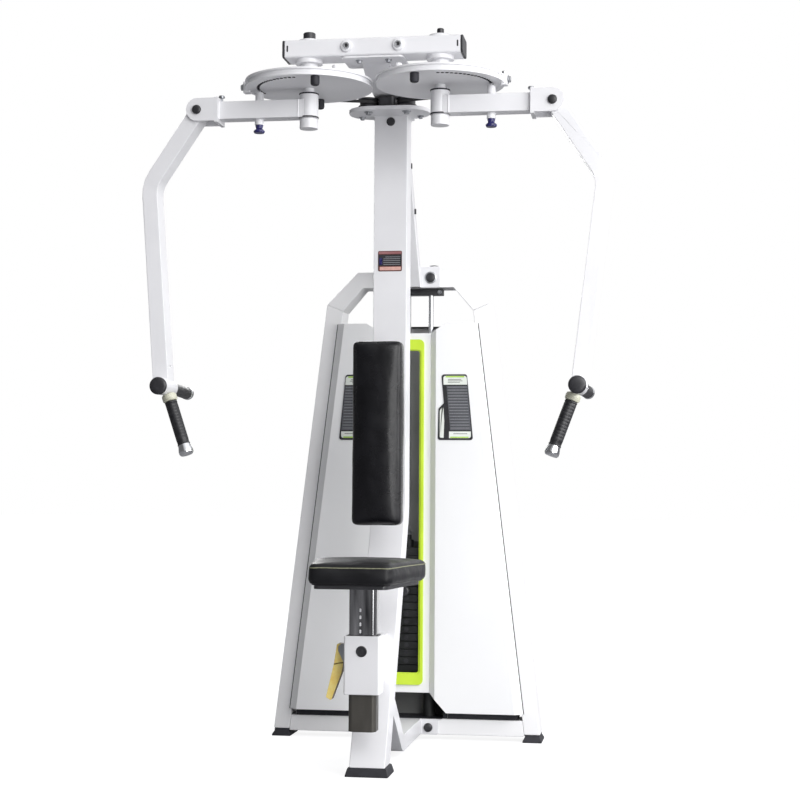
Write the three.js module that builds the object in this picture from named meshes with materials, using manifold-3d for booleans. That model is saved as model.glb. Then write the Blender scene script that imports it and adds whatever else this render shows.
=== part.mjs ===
// Selectorised pec deck (chest fly) machine. Millimetres, +Z up, the user faces -Y, +X is to the right
// when looking at the seat. The origin is on the floor under the middle of the machine.
import * as THREE from 'three';
import { mergeVertices } from 'three/addons/utils/BufferGeometryUtils.js';
import Module from 'manifold-3d';

const wasm = await Module();
wasm.setup();

// ---------------------------------------------------------------- driving dimensions
const gap = 0.3;                 // clearance between parts that touch
const wall = 4;                  // steel tube wall
const front = -570;              // front of the seat
const rear = 570;                // back of the rear cover

const mast = { half: 50, front: 52, depth: 80, bendZ: 723, top: 1903, leanY: 0.4334, leanZ: 0.9012 };
const mastAxisY = mast.front + mast.depth / 2;
const flange = { z: 1903 + gap, thick: 11.7, half: 122, front: -40, depth: 144, back: 135 };

const tower = { front: 405, back: 505, tube: 50, footZ: 24, topZ: 1477, shoulderZ: 1375 };
const towerX = { foot: 424, shoulder: 262, top: 163 };
const cover = { bottom: 88, top: 1311, front: 377, sheet: 2.5, chamfer: 24 };
const column = { half: 76, front: 395, bottom: 148, top: 1280 };
const window_ = { half: 46, bottom: 207, top: 1227, frameHalf: 56, frameBottom: 172, frameTop: 1260 };

const stack = { half: 125, front: 410, back: 500, base: 232, pitch: 24.6, resting: 9, lifted: 5 };
const stackY = 455;              // guide rods, selector rod and lift cable
const guideX = 68;
const topPulley = { y: stackY - 42, z: 1546, groove: 38, rim: 46 };

const pivot = { x: 188, y: -240 };
const disc = { r: 181, bottom: 1922, top: 1944, pinCircle: 144, holePitch: 5 };
const beam = { half: 250, front: -285, back: -195, bottom: 2004, top: 2054 };
const collarHigh = 8;            // white collar under the left pivot cap
const domeHigh = 13;             // white dome under the right one
const idlerAt = { x: 57, y: -8 };
const shaftR = 15;
const hub = { r: 27, bottom: 1837, top: 1910 };

const arm = { z: 1864, tube: 50, endX: 450 };
const clevis = { x: 505, r: 32, inner: 33, outer: 41 };
const pinX = 332;                // pop-pin on the arm
const pinR = 4;
const lever = { half: 22, depth: 64, elbowX: 647, elbowZ: 1652, footX: 581, footZ: 1068, lean: 0.132 };
const handle = { x: 579, z: 1072, frontY: -376, rodR: 9, barR: 24 };

const sleeve = { half: 49, front: -383, back: -305, bottom: 235, top: 393 };
const post = { half: 38, front: -373, back: -315, bottom: 135, top: 528.7 };
const seat = { frontHalf: 110, backHalf: 163, front, back: -246, bottom: 540, top: 595 };
const pad = { half: 72, front: -175, back: -113, bottom: 685, top: 1211 };

// ---------------------------------------------------------------- outlines
// A corner is [a, b] or [a, b, radius]; rounded corners become short arcs.
function rounded(corners, step = 20) {
  const points = [];
  corners.forEach(([a, b, radius = 0], i) => {
    const corner = new THREE.Vector2(a, b);
    if (radius <= 0) {
      points.push(corner);
      return;
    }
    const before = new THREE.Vector2(...corners.at(i - 1)).sub(corner).normalize();
    const after = new THREE.Vector2(...corners[(i + 1) % corners.length]).sub(corner).normalize();
    const half = Math.acos(THREE.MathUtils.clamp(before.dot(after), -1, 1)) / 2;
    const reach = radius / Math.tan(half);
    const centre = before.clone().add(after).normalize().multiplyScalar(radius / Math.sin(half)).add(corner);
    const start = before.clone().multiplyScalar(reach).add(corner).sub(centre);
    const end = after.clone().multiplyScalar(reach).add(corner).sub(centre);
    const turn = Math.atan2(start.cross(end), start.dot(end));
    const steps = Math.max(1, Math.ceil(Math.abs(turn) / THREE.MathUtils.degToRad(step)));
    for (let k = 0; k <= steps; k += 1) {
      points.push(start.clone().rotateAround(new THREE.Vector2(), (turn * k) / steps).add(centre));
    }
  });
  return points;
}

// Outline of a bar of constant width that follows a bent centre line.
function band(path, half, extra = 0) {
  const left = [];
  const right = [];
  path.forEach(([a, b, radius = 0], i) => {
    const here = new THREE.Vector2(a, b);
    const into = i > 0 ? here.clone().sub(new THREE.Vector2(...path[i - 1])).normalize() : null;
    const out = i < path.length - 1 ? new THREE.Vector2(...path[i + 1]).sub(here).normalize() : null;
    const along = into ?? out;
    const normal = new THREE.Vector2(-along.y, along.x);
    const side = normal.clone();
    let bend = 0;
    if (into && out) {
      const next = new THREE.Vector2(-out.y, out.x);
      side.add(next).divideScalar(1 + normal.dot(next));
      bend = Math.sign(into.cross(out));
    } else {
      here.addScaledVector(along, into ? extra : -extra);
    }
    const l = here.clone().addScaledVector(side, half);
    const r = here.clone().addScaledVector(side, -half);
    left.push([l.x, l.y, radius > 0 ? Math.max(1, radius - bend * half) : 0]);
    right.unshift([r.x, r.y, radius > 0 ? Math.max(1, radius + bend * half) : 0]);
  });
  return [...left, ...right];
}

const rectangle = (a0, a1, b0, b1, radius = 0) => [
  [a0, b0, radius], [a1, b0, radius], [a1, b1, radius], [a0, b1, radius],
];

// ---------------------------------------------------------------- solids
function solid(geometry) {
  const bare = geometry.clone();
  bare.deleteAttribute('normal');
  bare.deleteAttribute('uv');
  const merged = mergeVertices(bare, 1e-4);
  const mesh = new wasm.Mesh({
    numProp: 3,
    vertProperties: new Float32Array(merged.attributes.position.array),
    triVerts: new Uint32Array(merged.index.array),
  });
  return new wasm.Manifold(mesh);
}

// Plane name to the world directions of the outline's two axes and of the extrusion.
const planes = {
  XY: new THREE.Matrix4(),
  YZ: new THREE.Matrix4().makeBasis(
    new THREE.Vector3(0, 1, 0), new THREE.Vector3(0, 0, 1), new THREE.Vector3(1, 0, 0)),
  XZ: new THREE.Matrix4().makeBasis(
    new THREE.Vector3(1, 0, 0), new THREE.Vector3(0, 0, 1), new THREE.Vector3(0, -1, 0)),
};

// Prism of an outline in a plane, from one level to another along the third axis.
function prism(plane, corners, low, high, step = 20) {
  const shape = new THREE.Shape(rounded(corners, step));
  const geometry = new THREE.ExtrudeGeometry(shape, { depth: high - low, bevelEnabled: false });
  geometry.translate(0, 0, plane === 'XZ' ? -high : low);
  geometry.applyMatrix4(planes[plane]);
  return solid(geometry);
}

const box = (x0, x1, y0, y1, z0, z1) => prism('XY', rectangle(x0, x1, y0, y1), z0, z1);

// Turned solid from [radius, height] pairs; closed on the axis or into a ring.
function turned(profile, segments = 24) {
  const points = profile.map(([r, h]) => new THREE.Vector2(r, h));
  const onAxis = profile[0][0] === 0;
  if (!onAxis) {
    points.push(points[0].clone());
  }
  const geometry = new THREE.LatheGeometry(points, segments);
  geometry.rotateX(Math.PI / 2);
  const body = solid(geometry);
  return body.volume() < 0 ? solid(flipped(geometry)) : body;
}

function flipped(geometry) {
  const copy = geometry.clone();
  const index = copy.index.array;
  for (let i = 0; i < index.length; i += 3) {
    [index[i], index[i + 1]] = [index[i + 1], index[i]];
  }
  return copy;
}

const disk = (r, z0, z1, segments = 24) => solid(
  new THREE.CylinderGeometry(r, r, z1 - z0, segments).rotateX(Math.PI / 2).translate(0, 0, (z0 + z1) / 2));

// Round bar between two points.
function bar(from, to, r, segments = 20) {
  const a = new THREE.Vector3(...from);
  const b = new THREE.Vector3(...to);
  const along = b.clone().sub(a);
  const turn = new THREE.Quaternion().setFromUnitVectors(new THREE.Vector3(0, 1, 0), along.clone().normalize());
  const middle = a.add(b).multiplyScalar(0.5);
  const geometry = new THREE.CylinderGeometry(r, r, along.length(), segments).applyQuaternion(turn);
  return solid(geometry.translate(middle.x, middle.y, middle.z));
}

// Solid through closed rings of points, all rings with the same count, listed bottom to top.
function lofted(rings) {
  const flat = (ring) => ring.map(([x, y]) => new THREE.Vector2(x, y));
  const ordered = THREE.ShapeUtils.isClockWise(flat(rings[0])) ? rings.map((ring) => ring.toReversed()) : rings;
  const count = ordered[0].length;
  const index = [];
  for (let k = 0; k < ordered.length - 1; k += 1) {
    for (let i = 0; i < count; i += 1) {
      const a = k * count + i;
      const b = k * count + ((i + 1) % count);
      index.push(a, b, b + count, a, b + count, a + count);
    }
  }
  const last = (ordered.length - 1) * count;
  for (const [a, b, c] of THREE.ShapeUtils.triangulateShape(flat(ordered[0]), [])) {
    index.push(c, b, a, a + last, b + last, c + last);
  }
  const geometry = new THREE.BufferGeometry();
  geometry.setAttribute('position', new THREE.Float32BufferAttribute(ordered.flat(2), 3));
  geometry.setIndex(index);
  return solid(geometry);
}

// Padded block: one outline repeated at [level, inset] pairs, so its edges are soft.
const cushion = (outline, levels) => lofted(
  levels.map(([level, inset]) => rounded(outline(inset)).map((p) => [p.x, p.y, level])));

const mirrored = (body) => body.mirror([1, 0, 0]);

// Square or rectangular tube along a path in a plane, open at both ends.
const tube = (plane, path, half, low, high, extra = 0) => prism(plane, band(path, half, extra), low, high)
  .subtract(prism(plane, band(path, half - wall, extra + 5), low + wall, high - wall));

// ---------------------------------------------------------------- mast, foot and base
const legReach = mast.bendZ * mast.leanY / mast.leanZ;
const mastPath = [[mastAxisY, mast.top], [mastAxisY, mast.bendZ, 90], [mastAxisY - legReach, 0]];
const legY = (z) => mastAxisY - (mast.bendZ - z) * mast.leanY / mast.leanZ;
const legFootY = legY(24);

const mastEnvelope = prism('YZ', band(mastPath, mast.depth / 2 + gap), -mast.half - gap, mast.half + gap);

const mastTube = () => tube('YZ', mastPath, mast.depth / 2, -mast.half, mast.half)
  .subtract(box(-90, 90, -420, 0, -80, 24 + gap));

function frontFoot() {
  const ring = (grow, z) => [
    [-54 - grow, legFootY - 48 - grow, z], [54 + grow, legFootY - 48 - grow, z],
    [54 + grow, legFootY + 48 + grow, z], [-54 - grow, legFootY + 48 + grow, z],
  ];
  return lofted([ring(6, 0), ring(6, 5), ring(0, 24)]);
}

// Oval plate on the mast, with a tongue that covers the rear of the tube.
function mastFlange() {
  const oval = rectangle(-flange.half, flange.half, flange.front, flange.front + flange.depth, 70);
  const tongue = rectangle(-mast.half - 12, mast.half + 12, 0, flange.back, 10);
  return prism('XY', oval, flange.z, flange.z + flange.thick)
    .add(prism('XY', tongue, flange.z, flange.z + flange.thick));
}

function baseBrace() {
  const path = [[tower.front - gap, 42.5], [45, 42.5, 40], [45 - 200, 42.5 + 150]];
  const plate = prism('XZ', rectangle(-105, 105, 18, 67, 6), tower.front - gap - 8, tower.front - gap);
  return tube('YZ', path, 24.5, -mast.half, mast.half)
    .subtract(mastEnvelope)
    .add(plate);
}

// ---------------------------------------------------------------- weight tower
const towerSlope = (towerX.foot - towerX.shoulder) / (tower.shoulderZ - tower.footZ);
const towerOuter = (z) => towerX.shoulder + (tower.shoulderZ - z) * towerSlope;
const towerInnerTop = [[209, 1353], [145.5, 1427]];

function towerLeg() {
  const foot = tower.footZ + gap;
  const outline = (inset) => [
    [towerOuter(foot) - 50.4 + inset, foot - (inset > 0 ? 5 : 0)],
    [towerOuter(foot) - inset, foot - (inset > 0 ? 5 : 0)],
    [towerX.shoulder - inset, tower.shoulderZ - gap],
    [towerInnerTop[0][0] + inset, towerInnerTop[0][1] - gap],
  ];
  const core = outline(wall);
  core[2][1] += 10;
  core[3][1] += 10;
  return prism('XZ', outline(0), tower.front, tower.back)
    .subtract(prism('XZ', core, tower.front + wall, tower.back - wall));
}

function towerTopBar() {
  const inner = towerInnerTop;
  const outline = [
    [-towerX.shoulder, tower.shoulderZ], [-inner[0][0], inner[0][1]], [-inner[1][0], inner[1][1]],
    [inner[1][0], inner[1][1]], [inner[0][0], inner[0][1]], [towerX.shoulder, tower.shoulderZ],
    [towerX.top, tower.topZ], [-towerX.top, tower.topZ],
  ];
  const core = [
    [-towerX.shoulder + 1, tower.shoulderZ - 14], [-inner[0][0] - 17.5, inner[0][1] - 14],
    [-inner[1][0] - 3, inner[1][1] + wall],
    [inner[1][0] + 3, inner[1][1] + wall], [inner[0][0] + 17.5, inner[0][1] - 14],
    [towerX.shoulder - 1, tower.shoulderZ - 14],
    [towerX.top - 2, tower.topZ - wall], [-towerX.top + 2, tower.topZ - wall],
  ];
  return prism('XZ', outline, tower.front, tower.back)
    .subtract(prism('XZ', core, tower.front + wall, tower.back - wall))
    .subtract(disk(12, 1400, 1500, 16).translate([0, stackY, 0]));
}

function towerBaseBar() {
  const x = (z) => towerOuter(z) - 50.4 - gap;
  const outline = [[-x(18), 18], [x(18), 18], [x(67), 67], [-x(67), 67]];
  const core = rectangle(-450, 450, 18 + wall, 67 - wall);
  return prism('XZ', outline, tower.front, tower.back)
    .subtract(prism('XZ', core, tower.front + wall, tower.back - wall));
}

function towerFoot() {
  const middle = towerOuter(tower.footZ) - 25;
  const ring = (grow, z) => [
    [middle - 23 - grow, tower.front - grow, z], [middle + 23 + grow, tower.front - grow, z],
    [middle + 23 + grow, tower.back + grow, z], [middle - 23 - grow, tower.back + grow, z],
  ];
  return lofted([ring(7, 0), ring(7, 5), ring(0, 16), ring(0, tower.footZ)]);
}

// ---------------------------------------------------------------- covers
const coverEdge = (z) => towerOuter(z) - 50.4 + 5;

function frontPanel() {
  const ring = (z) => {
    const edge = coverEdge(z);
    const line = [
      [column.half + gap, column.front], [95, cover.front],
      [edge - cover.chamfer, cover.front], [edge, tower.front - 2.5 - cover.sheet],
    ];
    const back = line.map(([x, y]) => [x, y + cover.sheet]).reverse();
    return [...line, ...back].map(([x, y]) => [x, y, z]);
  };
  const topCut = [[70, 1276], [99, 1293], [130, 1312], [130, 1330], [70, 1330]];
  const bottomCut = [[70, 148], [77, 148], [132, 87], [132, 70], [70, 70]];
  return lofted([ring(cover.bottom), ring(cover.top)])
    .subtract(prism('XZ', topCut, 350, 420))
    .subtract(prism('XZ', bottomCut, 350, 420));
}

const windowSurround = () => prism('XZ', rectangle(-column.half, column.half, column.bottom, column.top),
  column.front, column.front + cover.sheet)
  .subtract(prism('XZ', rectangle(-window_.half, window_.half, window_.bottom, window_.top, 8), 380, 410));

const windowFrame = () => prism('XZ',
  rectangle(-window_.frameHalf, window_.frameHalf, window_.frameBottom, window_.frameTop, 16),
  column.front - 7, column.front - gap)
  .subtract(prism('XZ', rectangle(-window_.half, window_.half, window_.bottom, window_.top, 10), 380, 400));

function rearCover() {
  const ring = (z) => {
    const edge = coverEdge(z);
    const line = [
      [-edge, tower.back + 5], [-edge + cover.chamfer, rear],
      [edge - cover.chamfer, rear], [edge, tower.back + 5],
    ];
    const inner = line.map(([x, y]) => [x, y - cover.sheet]).reverse();
    return [...line, ...inner].map(([x, y]) => [x, y, z]);
  };
  return lofted([ring(cover.bottom), ring(cover.top)]);
}

function placard() {
  const outline = [
    [113, 1148, 8], [194, 1148, 8], [214, 941, 8], [102, 941, 8], [104, 1040, 6], [121, 1057, 6],
  ];
  return prism('XZ', outline, cover.front - 2, cover.front - gap);
}

// ---------------------------------------------------------------- weight stack
const plateTop = (count) => stack.base + gap + count * stack.pitch;

const guideHoles = (r) => disk(r, 0, 1500, 16).translate([guideX, stackY, 0])
  .add(disk(r, 0, 1500, 16).translate([-guideX, stackY, 0]));

const plateBore = (r) => disk(r, 0, 1500, 24).translate([0, stackY, 0]);

// Block of plates, with a narrow groove where each pair of plates meets.
function plates(first, count) {
  const side = [];
  for (let i = 0; i < count; i += 1) {
    const low = plateTop(first + i) + (i === 0 ? gap : 0.8);
    const high = plateTop(first + i + 1) - (i === count - 1 ? gap : 0.8);
    side.push([stack.half, low], [stack.half, high]);
    if (i < count - 1) {
      side.push([stack.half - 4, high], [stack.half - 4, high + 1.6]);
    }
  }
  const outline = [...side, ...side.map(([x, z]) => [-x, z]).reverse()];
  return prism('XZ', outline, stack.front, stack.back)
    .subtract(guideHoles(9.5))
    .subtract(plateBore(13));
}

const pinLevel = plateTop(stack.resting) + stack.pitch / 2;

const pinHole = (r, from) => bar([0, from, pinLevel], [0, stackY + 14, pinLevel], r, 16);

const liftedPlates = () => plates(stack.resting, stack.lifted).subtract(pinHole(5.2, stack.front - 5));

function stackTopPlate() {
  const low = plateTop(stack.resting + stack.lifted);
  const high = low + stack.pitch;
  return box(-stack.half, stack.half, stack.front, stack.back, low, high)
    .subtract(guideHoles(9.5))
    .add(disk(11, stack.base + 12, high + 20, 24).translate([0, stackY, 0]))
    .add(disk(16, high - 1, high + 24, 24).translate([0, stackY, 0]))
    .add(disk(9, high + 23, high + 40, 16).translate([0, stackY, 0]))
    .subtract(pinHole(5.2, stackY - 20));
}

function selectorPin() {
  const profile = [
    [0, 0], [10, 0], [14, 3], [14, 22], [7, 28], [4.8, 30], [4.8, 103], [3, 106], [0, 106],
  ];
  return turned(profile, 20).rotate([-90, 0, 0]).translate([0, 360, pinLevel]);
}

function stackBase() {
  const leg = disk(19, 67 + gap, stack.base - 20, 20).translate([guideX, stackY, 0]);
  return box(-stack.half + 8, stack.half - 8, stack.front + 6, stack.back - 6, stack.base - 28, stack.base)
    .subtract(plateBore(14))
    .add(leg)
    .add(mirrored(leg));
}

const guideRod = () => disk(8, stack.base + gap, 1427 - gap, 20).translate([guideX, stackY, 0]);

const liftCable = () => disk(3.5, plateTop(15) + 40 + gap, topPulley.z - 2, 12).translate([0, stackY, 0]);

function grooved(groove, rim, half, bore) {
  return turned([
    [bore, -half], [rim, -half], [rim, -half + 3], [groove, -4.6], [groove, 4.6], [rim, half - 3],
    [rim, half], [bore, half],
  ], 32);
}

const towerPulley = () => grooved(topPulley.groove - 0.4, topPulley.rim, 12, 6.4)
  .rotate([0, 90, 0])
  .translate([0, topPulley.y, topPulley.z]);

function pulleyBracket() {
  const foot = tower.topZ + gap;
  const cheek = prism('YZ', [
    [topPulley.y - 6, foot], [500, foot], [500, foot + 12], [topPulley.y + 20, topPulley.z + 14, 20],
    [topPulley.y - 20, topPulley.z + 14, 20], [topPulley.y - 20, topPulley.z - 16, 12],
    [topPulley.y - 6, foot + 22],
  ], 14, 19);
  return box(-32, 32, topPulley.y - 6, 500, foot, foot + 5)
    .subtract(disk(12, 1400, 1500, 16).translate([0, stackY, 0]))
    .add(cheek)
    .add(mirrored(cheek))
    .add(bar([-22, topPulley.y, topPulley.z], [22, topPulley.y, topPulley.z], 6, 20));
}

function rearStay() {
  const path = [[103, 1852.8], [356.5, 1481.3], [410, 1402.9]];
  const plate = prism('XZ', rectangle(-105, 105, 1425, 1493, 8), tower.front - gap - 8, tower.front - gap);
  return tube('YZ', path, 20, -45, 45)
    .subtract(mastEnvelope)
    .subtract(box(-90, 90, 0, mastAxisY, 1700, 1950))
    .subtract(box(-90, 90, tower.front - gap, 600, 1300, 1600))
    .subtract(box(-90, 90, 0, 600, 1300, 1425))
    .add(plate);
}

// ---------------------------------------------------------------- head
function neck() {
  const seatZ = flange.z + flange.thick + gap;
  const top = beam.bottom - gap;
  const outline = [
    [beam.front + 4, top], [beam.front + 4, top - 6], [-212, top - 6, 20], [-150, 1966, 30],
    [-20, 1948, 30], [44, 1946, 8], [44, seatZ], [124, seatZ], [124, 1946, 12], [-40, top, 60],
  ];
  const core = [[-190, top - 8], [-140, 1972], [-24, 1954], [50, 1952], [50, seatZ - 5],
    [118, seatZ - 5], [118, 1942], [-42, top - 6], [-190, top - 6.5]];
  const plate = prism('XY', rectangle(-88, 88, beam.front + 4, beam.back + 40, 14), top - 6, top);
  return prism('YZ', outline, -40, 40)
    .subtract(prism('YZ', core, -35, 35))
    .add(plate);
}

// Beam tube with the two bearing housings welded under it, a collar and a dome on top.
function crossbeam() {
  const housing = turned([
    [shaftR + 0.4, 0], [25, 0], [25, 32], [39, 32], [39, 44.5], [shaftR + 0.4, 44.5],
  ]).translate([pivot.x, pivot.y, beam.bottom - 44]);
  const collar = turned([[0, -1], [32, -1], [32, 5], [29, collarHigh], [0, collarHigh]], 36)
    .translate([-pivot.x, pivot.y, beam.top]);
  const dome = turned([[0, -1], [38, -1], [38, 3], [32, 9], [18, domeHigh], [0, domeHigh]], 36)
    .translate([pivot.x, pivot.y, beam.top]);
  const section = rectangle(beam.front, beam.back, beam.bottom, beam.top, 6);
  const core = rectangle(beam.front + wall, beam.back - wall, beam.bottom + wall, beam.top - wall, 2);
  return prism('YZ', section, -beam.half, beam.half)
    .subtract(prism('YZ', core, -beam.half - 5, beam.half + 5))
    .add(collar)
    .add(dome)
    .add(housing)
    .add(mirrored(housing));
}

const beamCap = () => prism('YZ', rectangle(beam.front, beam.back, beam.bottom, beam.top, 8),
  beam.half + gap, beam.half + 7)
  .add(prism('YZ', rectangle(beam.front + 7, beam.back - 7, beam.bottom + 7, beam.top - 7, 6),
    beam.half - 20, beam.half + 2));

const pivotCap = (x, radius, from) => turned([
  [0, from + gap], [radius, from + gap], [radius, 27], [radius - 2, 29], [0, 29],
], 28).translate([x, pivot.y, beam.top]);

const idler = () => grooved(26, 31, 13, 0)
  .translate([idlerAt.x, idlerAt.y, flange.z + flange.thick + gap + 13.5]);

// Disc with its rim groove, a ring of index holes, the shaft through the beam housing and the clamp.
function camDisc() {
  const middle = (disc.bottom + disc.top) / 2;
  const wheel = turned([
    [0, disc.bottom + 1.5], [disc.r - 15, disc.bottom + 1.5], [disc.r - 12, disc.bottom], [disc.r, disc.bottom],
    [disc.r, middle - 6], [disc.r - 5, middle - 5], [disc.r - 5, middle + 5], [disc.r, middle + 6],
    [disc.r, disc.top], [disc.r - 12, disc.top], [disc.r - 18, disc.top - 4], [0, disc.top - 4],
  ], 56);
  let body = wheel
    .add(disk(shaftR, hub.bottom - 24, beam.bottom - 4, 24))
    .add(disk(24, disc.top - 5, disc.top + 10, 24))
    .add(disk(26, hub.bottom - 29, hub.bottom - 1, 28))
    .add(prism('XY', rectangle(170, 190, -12, 14, 4), disc.bottom - 6, disc.top + 4));
  for (let k = -17; k <= 3; k += 1) {
    body = body.subtract(disk(pinR + 0.8, disc.bottom - 5, disc.top + 5, 8)
      .translate([disc.pinCircle, 0, 0]).rotate([0, 0, k * disc.holePitch]));
  }
  return body.translate([pivot.x, pivot.y, 0]);
}

// ---------------------------------------------------------------- arms
// Right arm, pointing to +X: hub, tube, pop-pin boss and the forked end with its cross pin.
function armTube() {
  const half = arm.tube / 2;
  const y0 = pivot.y - half;
  const y1 = pivot.y + half;
  const cheek = (from, to) => prism('XZ', [
    [arm.endX - 4, arm.z + 34], [clevis.x + clevis.r, arm.z + 34, clevis.r],
    [clevis.x + clevis.r, arm.z - clevis.r, clevis.r], [arm.endX - 4, arm.z - clevis.r],
  ], from, to);
  return box(pivot.x + 10, arm.endX, y0, y1, arm.z - half, arm.z + half)
    .subtract(box(pivot.x + 20, arm.endX - 2, y0 + wall, y1 - wall, arm.z - half + wall, arm.z + half - wall))
    .subtract(disk(4, arm.z - half - 5, arm.z, 10).translate([pivot.x + 60, pivot.y, 0]))
    .add(disk(hub.r, hub.bottom, hub.top, 28).translate([pivot.x, pivot.y, 0]))
    .subtract(disk(shaftR + 0.4, hub.bottom - 5, hub.top + 5, 24).translate([pivot.x, pivot.y, 0]))
    .add(box(arm.endX - 6, arm.endX + 5, pivot.y - clevis.outer, pivot.y + clevis.outer, arm.z - 36, arm.z + 36))
    .add(cheek(pivot.y - clevis.outer, pivot.y - clevis.inner))
    .add(cheek(pivot.y + clevis.inner, pivot.y + clevis.outer))
    .add(bar([clevis.x, pivot.y - 44, arm.z], [clevis.x, pivot.y + 44, arm.z], 10, 24))
    .add(disk(12, arm.z + half - 10, disc.bottom - 6, 20).translate([pinX, pivot.y, 0]))
    .add(disk(13, arm.z - half - 16, arm.z - half + 10, 20).translate([pinX, pivot.y, 0]))
    .subtract(disk(pinR + 0.4, 1700, 2000, 16).translate([pinX, pivot.y, 0]));
}

// Spring pin that locks the arm to the disc, with its flared pull knob.
const popPin = () => turned([
  [0, 0], [14, 0], [16, 3], [16, 7], [9, 13], [11, 19], [11, 23 - gap], [pinR, 23 - gap], [pinR, 132],
  [pinR - 1.5, 136], [0, 136],
], 24).translate([pinX, pivot.y, arm.z - 25 - 16 - 23]);

const leverFootY = (z) => Math.min(0, (z - (lever.elbowZ - 30)) * lever.lean);
const leverY = (z) => pivot.y + leverFootY(z);

// Grip axes: the rear one points back and slightly out, the hanging one down and in.
const rearAxis = {
  from: [handle.x, leverY(handle.z) + 51, handle.z],
  to: [handle.x + 12, leverY(handle.z) + 253, handle.z - 4],
};
const hangingAxis = {
  from: [568, leverY(handle.z) - 2, handle.z - 20],
  to: [505, leverY(handle.z) - 24, 880],
};

function pointOn(axis, distance) {
  const step = distance / Math.hypot(...axis.from.map((v, i) => axis.to[i] - v));
  return axis.from.map((v, i) => v + (axis.to[i] - v) * step);
}

// Bent lever; below the elbow it leans towards the user. The cross bar and grip rods are welded to it.
function leverTube() {
  const path = [[clevis.x, arm.z], [lever.elbowX, lever.elbowZ, 90], [lever.footX, lever.footZ]];
  const flat = (half, depth, extra) => prism('XZ', band(path, half, extra), pivot.y - depth, pivot.y + depth)
    .warp((v) => {
      v[1] += leverFootY(v[2]);
    });
  const eye = bar([clevis.x, pivot.y - 32, arm.z], [clevis.x, pivot.y + 32, arm.z], lever.half, 28);
  const eyeBore = bar([clevis.x, pivot.y - 40, arm.z], [clevis.x, pivot.y + 40, arm.z], 10.4, 24);
  return flat(lever.half, lever.depth / 2, 0)
    .add(eye)
    .subtract(flat(lever.half - wall, lever.depth / 2 - wall, -30))
    .subtract(bar([540, leverY(1130), 1130], [590, leverY(1130), 1130], 4, 10))
    .subtract(eyeBore)
    .add(bar([handle.x, handle.frontY, handle.z], [handle.x, leverY(handle.z) + 50, handle.z], handle.barR, 28))
    .add(bar(pointOn(rearAxis, -6), pointOn(rearAxis, 216), handle.rodR, 16))
    .add(bar(pointOn(hangingAxis, 0), pointOn(hangingAxis, 170), handle.rodR, 16));
}

// Turned solid whose height is measured along a grip's axis.
function turnedAlong(profile, axis, segments = 24) {
  const along = new THREE.Vector3(...axis.to).sub(new THREE.Vector3(...axis.from)).normalize();
  const turn = new THREE.Quaternion().setFromUnitVectors(new THREE.Vector3(0, 0, 1), along);
  const matrix = new THREE.Matrix4().makeRotationFromQuaternion(turn).setPosition(...axis.from);
  return turned(profile, segments).transform(matrix.elements);
}

const bore = handle.rodR + 0.4;

const rearGrip = () => turnedAlong([
  [bore, 6], [16, 6], [17.5, 10], [17.5, 198], [16, 201], [bore, 201],
], rearAxis);

const rearGripCap = () => turnedAlong([
  [0, 226], [17, 226], [19, 222], [19, 205], [17, 201.5], [bore, 201.5], [bore, 218], [0, 218],
], rearAxis);

const hangingGrip = () => turnedAlong([
  [bore, 30], [18, 30], [17.3, 36], [17.3, 150], [bore, 150],
], hangingAxis);

const hangingGripCap = () => turnedAlong([
  [0, 182], [17, 182], [20.5, 177], [20.5, 170], [17.3, 157], [17.3, 150.5], [bore, 150.5], [bore, 174],
  [0, 174],
], hangingAxis);

// ---------------------------------------------------------------- seat
function seatSleeve() {
  const core = rectangle(-post.half - 3, post.half + 3, post.front - 3, post.back + 3, 10);
  const web = box(-30, 30, sleeve.back - 2, 60, 250, 380)
    .subtract(box(-24, 24, sleeve.back + 10, 70, 256, 374))
    .subtract(mastEnvelope)
    .subtract(prism('YZ', [[legY(240), 240], [100, 240], [100, 400], [legY(400), 400]], -60, 60));
  return prism('XY', rectangle(-sleeve.half, sleeve.half, sleeve.front, sleeve.back, 5),
    sleeve.bottom, sleeve.top)
    .add(web)
    .subtract(prism('XY', core, sleeve.bottom - 5, sleeve.top + 5));
}

function seatPost() {
  const section = (inset) => rectangle(
    -post.half + inset, post.half - inset, post.front + inset, post.back - inset, 12 - inset / 2);
  return prism('XY', section(0), post.bottom, post.top)
    .subtract(prism('XY', section(wall), post.bottom - 5, post.top - 8));
}

const seatPlate = () => prism('XY', [
  [-97, seat.front + 15, 16], [97, seat.front + 15, 16], [142, seat.back - 15, 16], [-142, seat.back - 15, 16],
], post.top + gap, seat.bottom - 1);

function seatPad() {
  const slope = (seat.backHalf - seat.frontHalf) / (seat.back - seat.front);
  const outline = (inset) => {
    const x = (y) => seat.frontHalf + (y - seat.front) * slope - inset;
    const y0 = seat.front + inset;
    const y1 = seat.back - inset;
    return [[-x(y0), y0, 20], [x(y0), y0, 20], [x(y1), y1, 20], [-x(y1), y1, 20]];
  };
  return cushion(outline, [
    [seat.bottom, 8], [seat.bottom + 6, 2], [seat.bottom + 14, 0], [seat.top - 10, 0],
    [seat.top - 3, 3], [seat.top, 9],
  ]);
}

// Release lever: a tapered yellow paddle hinged on a pin beside the sleeve.
function seatLever() {
  const paddle = prism('XZ', [
    [-60, 366], [-77, 368, 5], [-85, 314], [-107, 221, 4], [-92, 212, 4], [-63, 290], [-58, 318],
  ], -334, -304);
  const eye = bar([-64, -334, 356], [-64, -304, 356], 9, 20);
  const eyeBore = bar([-64, -340, 356], [-64, -300, 356], 5.4, 16);
  return paddle.add(eye)
    .subtract(box(sleeve.half * -1 - 4.5, 0, -400, -200, 200, 400))
    .subtract(eyeBore);
}

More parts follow.
